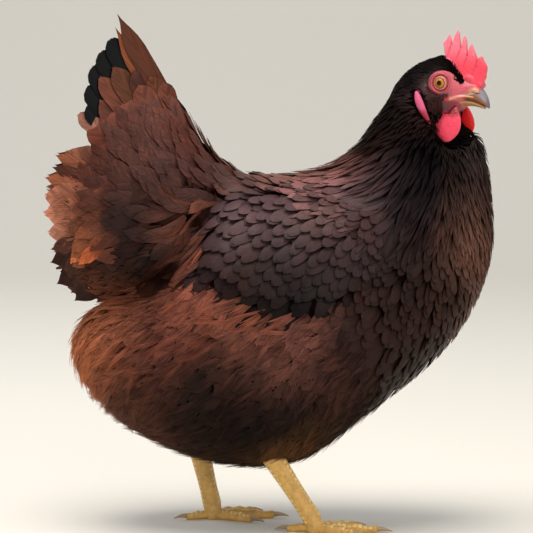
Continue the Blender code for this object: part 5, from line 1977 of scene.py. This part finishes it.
# %% The whole tail
LONE_LIFT, HIGH_LIFT, QUILL_LIFT = 0.0026, 0.0010, 0.0004  # (m)
LONE_BEND = 9  # (degrees)
QUILL_ROOT = 40.0  # reach at which a stiff feather starts (mm)
ROOT_BLEND, ROOT_LIFT = 0.5, 0.0034  # share of the fan's colour near the tail's root
groups, quills = [], []
for side, side_name in BOTH_SIDES:
    for row, share in enumerate(COVERT_ROWS):
        groups += covert_row(row, share, side)
        groups += tuft_row(row, share, side)
    for angle, reach, length, width, colour, kind in LONE_COVERTS:
        groups += lone_feather(
            kind, angle, reach, reach - length, width, side, None,
            varied(np.array([linear(colour)]), 0.15), LONE_BEND, LONE_LIFT,
        )
    for angle, reach, length, width, colour, kind in HIGH_COVERTS:
        groups += lone_feather(
            kind, angle, reach, reach - length, width, side,
            beside_middle(angle) + HIGH_COVERT_OUT, np.array([linear(colour)]), LONE_BEND,
            HIGH_LIFT,
        )
    for angle, reach, width, kind, colour, bend in QUILLS:
        quills += lone_feather(
            kind, angle, reach, QUILL_ROOT, width, side, beside_middle(angle),
            np.array([linear(colour)]), bend, QUILL_LIFT,
        )
    places, normals, sizes, colours = tract(
        ["tail"], 0.008, 4.0, 31 + side, lambda p: at_tail_root(p) & (p[:, 1] * side > 0)
    )
    angle, reach = angle_and_reach(places)
    fan_colours = varied(tail_colour(angle, reach / full_reach(angle) + 0.15), 0.2)
    colours = (1 - ROOT_BLEND) * colours + ROOT_BLEND * fan_colours
    groups += grown(["scale"], places, normals, sizes, colours, 0.004, ROOT_LIFT, 0.04,
                    wander=0.16)
    places, normals, sizes, colours = tract(
        ["tail"], 0.008, 4.0, 51 + side, lambda p: inside_tail(p) & (p[:, 1] * side > 0)
    )
    groups += grown(["soft"], places, normals, 0.7 * sizes, colours * INSIDE_SHADE, 0.004, 0.001,
                    0.04)
covert_coat = joined("tail_covert_feathers", groups, rust_look)
quill_coat = joined("tail_quills", quills, quill_look)

# %% [markdown]
# ## Leg plates
#
# A hen's shank and toes wear plates of horn in front and on top, as a tiled roof laid from
# the hock down, with a mesh of tiny scales at the sides. The small mesh is in the finish of
# the skin. The plates are real shape: the same closed vane as a feather, but wrapped across
# the leg and seated on it by rays from the leg's axis.

# %% Plates on shanks and toes
PLATE_STEP = 4.3  # along the leg from plate to plate (mm)
PLATE_RISE = (0.05, 0.55)  # of the upper and the lower edge over the skin (mm)
PLATE_TUCK = 1.2  # how far the sides of a plate go into the skin (mm)
PLATE_OVERLAP = 1.15  # a plate's length as a share of the step
LEG_REACH, LEG_RADIUS = 0.02, 0.005  # the rays' length, and the radius where one misses (m)
plate = vane_form(6, 3, lambda along: 1.0, 0.10, 0.0, 40)
# Horn again, in smooth plates: clean pale shine, with a dark line painted where they
# overlap, as the shade of the plate above.
plate_look = vane_look(
    "leg plates, horny", 0.38, 0.4, 0.15, 0.5, "#ffffff", 0.0, (3.0, 1.0), 0.0001
)


def leg_plates(start, end, front, spread):
    """A row of plates from start to end, wrapped round the side that front points to, so
    far each way (radians)."""
    axis = end - start
    side_way = axis.normalized().cross(front).normalized()
    front = side_way.cross(axis.normalized()).normalized()
    count = max(3, round(axis.length / (PLATE_STEP * MM)))
    shapes = np.zeros((count, len(plate[0]), 3))
    for i in range(count):
        for number, (across, along, thick) in enumerate(plate[0]):
            origin = start + axis * ((i + PLATE_OVERLAP * along - 0.1) / count)
            turn = across * spread
            spoke = front * math.cos(turn) + side_way * math.sin(turn)
            hit = leg_tree.ray_cast(origin, spoke, LEG_REACH)
            reach = LEG_RADIUS if hit[3] is None else hit[3]
            rise = PLATE_RISE[0] + (PLATE_RISE[1] - PLATE_RISE[0]) * along
            rise += thick - PLATE_TUCK * across**4
            shapes[i, number] = origin + spoke * (reach + rise * MM)
    colours = varied(np.tile(linear("#f2ca80"), (count, 1)), 0.1)
    colours = np.repeat(colours[:, None], len(plate[0]), axis=1)
    patches = shapes.mean(axis=1)[:, [0, 2]] * 2 + 0.5
    return (plate, shapes, colours, patches, rng.random(count))


# For each leg: where its toes meet (X), and its hock (X and Z), all in mm.
LEGS = ((-1, "right", 40, (3, 66)), (1, "left", -48, (-60.5, 64)))
HUB_OUT, HOCK_OUT, ANKLE_HEIGHT, TOE_HEIGHT = 38, 36, 13, 4.2  # (mm)
groups = []
for side, side_name, hub, hock in LEGS:
    hub_point = Vector((hub, HUB_OUT * side, 0)) * MM
    ankle = hub_point + Vector((0, 0, ANKLE_HEIGHT)) * MM
    top = Vector((hock[0], HOCK_OUT * side, hock[1])) * MM
    groups.append(leg_plates(top.lerp(ankle, 0.12), ankle, Vector((1, 0, 0)), 1.0))
    groups.append(leg_plates(top.lerp(ankle, 0.12), ankle, Vector((-1, 0, 0)), 0.75))
    for toe in TOE_NAMES:
        low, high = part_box("toe_" + toe + "_" + side_name)
        corners = [Vector((x, y, 0)) for x in (low.x, high.x) for y in (low.y, high.y)]
        far = max(corners, key=lambda corner: (corner - hub_point).length)
        inset = (hub_point - far).normalized() * 0.004
        height = Vector((0, 0, TOE_HEIGHT)) * MM
        start = hub_point + (far - hub_point).normalized() * 0.009 + height
        groups.append(leg_plates(start, far + inset + height * 0.75, UP, 1.0))
joined("leg_plates", groups, plate_look)

# %% [markdown]
# ## The wing
#
# A folded wing shows its coverts only: small oval feathers in straight rows, each row
# half a feather aside of the last, which is why the wing looks like scale armour. Strewn
# and thinned roots, as on the body, would lose the rows. So the roots stand on a slanting
# grid that is thrown sideways on to the form, each a little off its place, and a covert is
# kept where its tip still lies on the wing, so that the wing's lower edge stays clear.

# %% Wing coverts
WING_LIE = Vector((-0.66, -0.75)).normalized()  # along X and Z
WING_PITCH = (8.4, 10.2)  # across and along the rows (mm)
WING_FEATHER = (0.028, 0.0117)  # length and width (m)
WING_TIP_SHARE = 0.95  # a covert belongs to the wing if it lies there this far along
WING_CENTRE = (14, 241)  # X and Z (mm)
WING_ROWS, WING_COLUMNS = 11, 13  # each way from the centre
places, normals = [], []
for side in (-1, 1):
    for row in range(-WING_ROWS, WING_ROWS + 1):
        for column in range(-WING_COLUMNS, WING_COLUMNS + 1):
            aside = WING_PITCH[0] * (column + 0.5 * (row % 2) + rng.normal(0, 0.09))
            down = WING_PITCH[1] * (row + 0.12 * math.sin(1.3 * column) + rng.normal(0, 0.10))
            x = WING_CENTRE[0] + WING_LIE.x * down - WING_LIE.y * aside
            z = WING_CENTRE[1] + WING_LIE.y * down + WING_LIE.x * aside
            hit = form_tree.ray_cast(Vector((x * MM, side, z * MM)), Vector((0, -side, 0)))
            if hit[0] is not None:
                places.append(hit[0])
                normals.append(hit[1])
places, normals = np.array(places), np.array(normals)
lie = guided(places, "lie", True)
lie = unit(lie - normals * (lie * normals).sum(axis=1, keepdims=True))
tips = places + lie * WING_FEATHER[0] * WING_TIP_SHARE
kept = (tract_of(tips) == "wing") & ~below_wing(tips)
places, normals = places[kept], normals[kept]
sizes = np.tile(WING_FEATHER, (len(places), 1))
colours = varied(guided(places, "colour", True), 0.14)
groups = grown(["oval"], places, normals, sizes, colours, 0.006, 0.0014, 0.04, wander=0.07,
               on_wing=True)
wing_coat = joined("wing_coverts", groups, wing_look)

# %% [markdown]
# ## Under the coat, and what the coat stands for
#
# Where feathers part, the skin's own fluff shows between them. It is the same colour as the
# coat above it, only darker, so it takes the guides' colours too. Last, the solids of the CAD
# model that each coat stands for are hidden, and the outer form, which was only a guide for
# planting, is taken away.

# %% Markings of the skin
UNDER_SHADE = 0.4
skin_points = points_of(skin.data)
layer = skin.data.attributes["tint"]
tint = np.empty(len(skin_points) * 4, np.float32)
layer.data.foreach_get("color", tint)
tint = tint.reshape(-1, 4)
coated = tint[:, :3].sum(axis=1) == 0
tint[coated, :3] = guided(skin_points[coated], "colour") * UNDER_SHADE
layer.data.foreach_set("color", tint.ravel())
print(int(coated.sum()), "points of the skin take the coat's colours")

# %% Replaced solids
for coat, replaced in (
    (body_coat, ["trunk"]), (neck_coat, ["neck"]), (head_coat, ["head"]),
    (wing_coat, ["wing_left", "wing_right"]), (covert_coat, ["tail_coverts"]),
    (quill_coat, ["tail_feathers_left", "tail_feathers_right"]),
    (down_coat, ["thigh_left", "thigh_right"]),
):
    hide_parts(*replaced)
bpy.data.objects.remove(form)
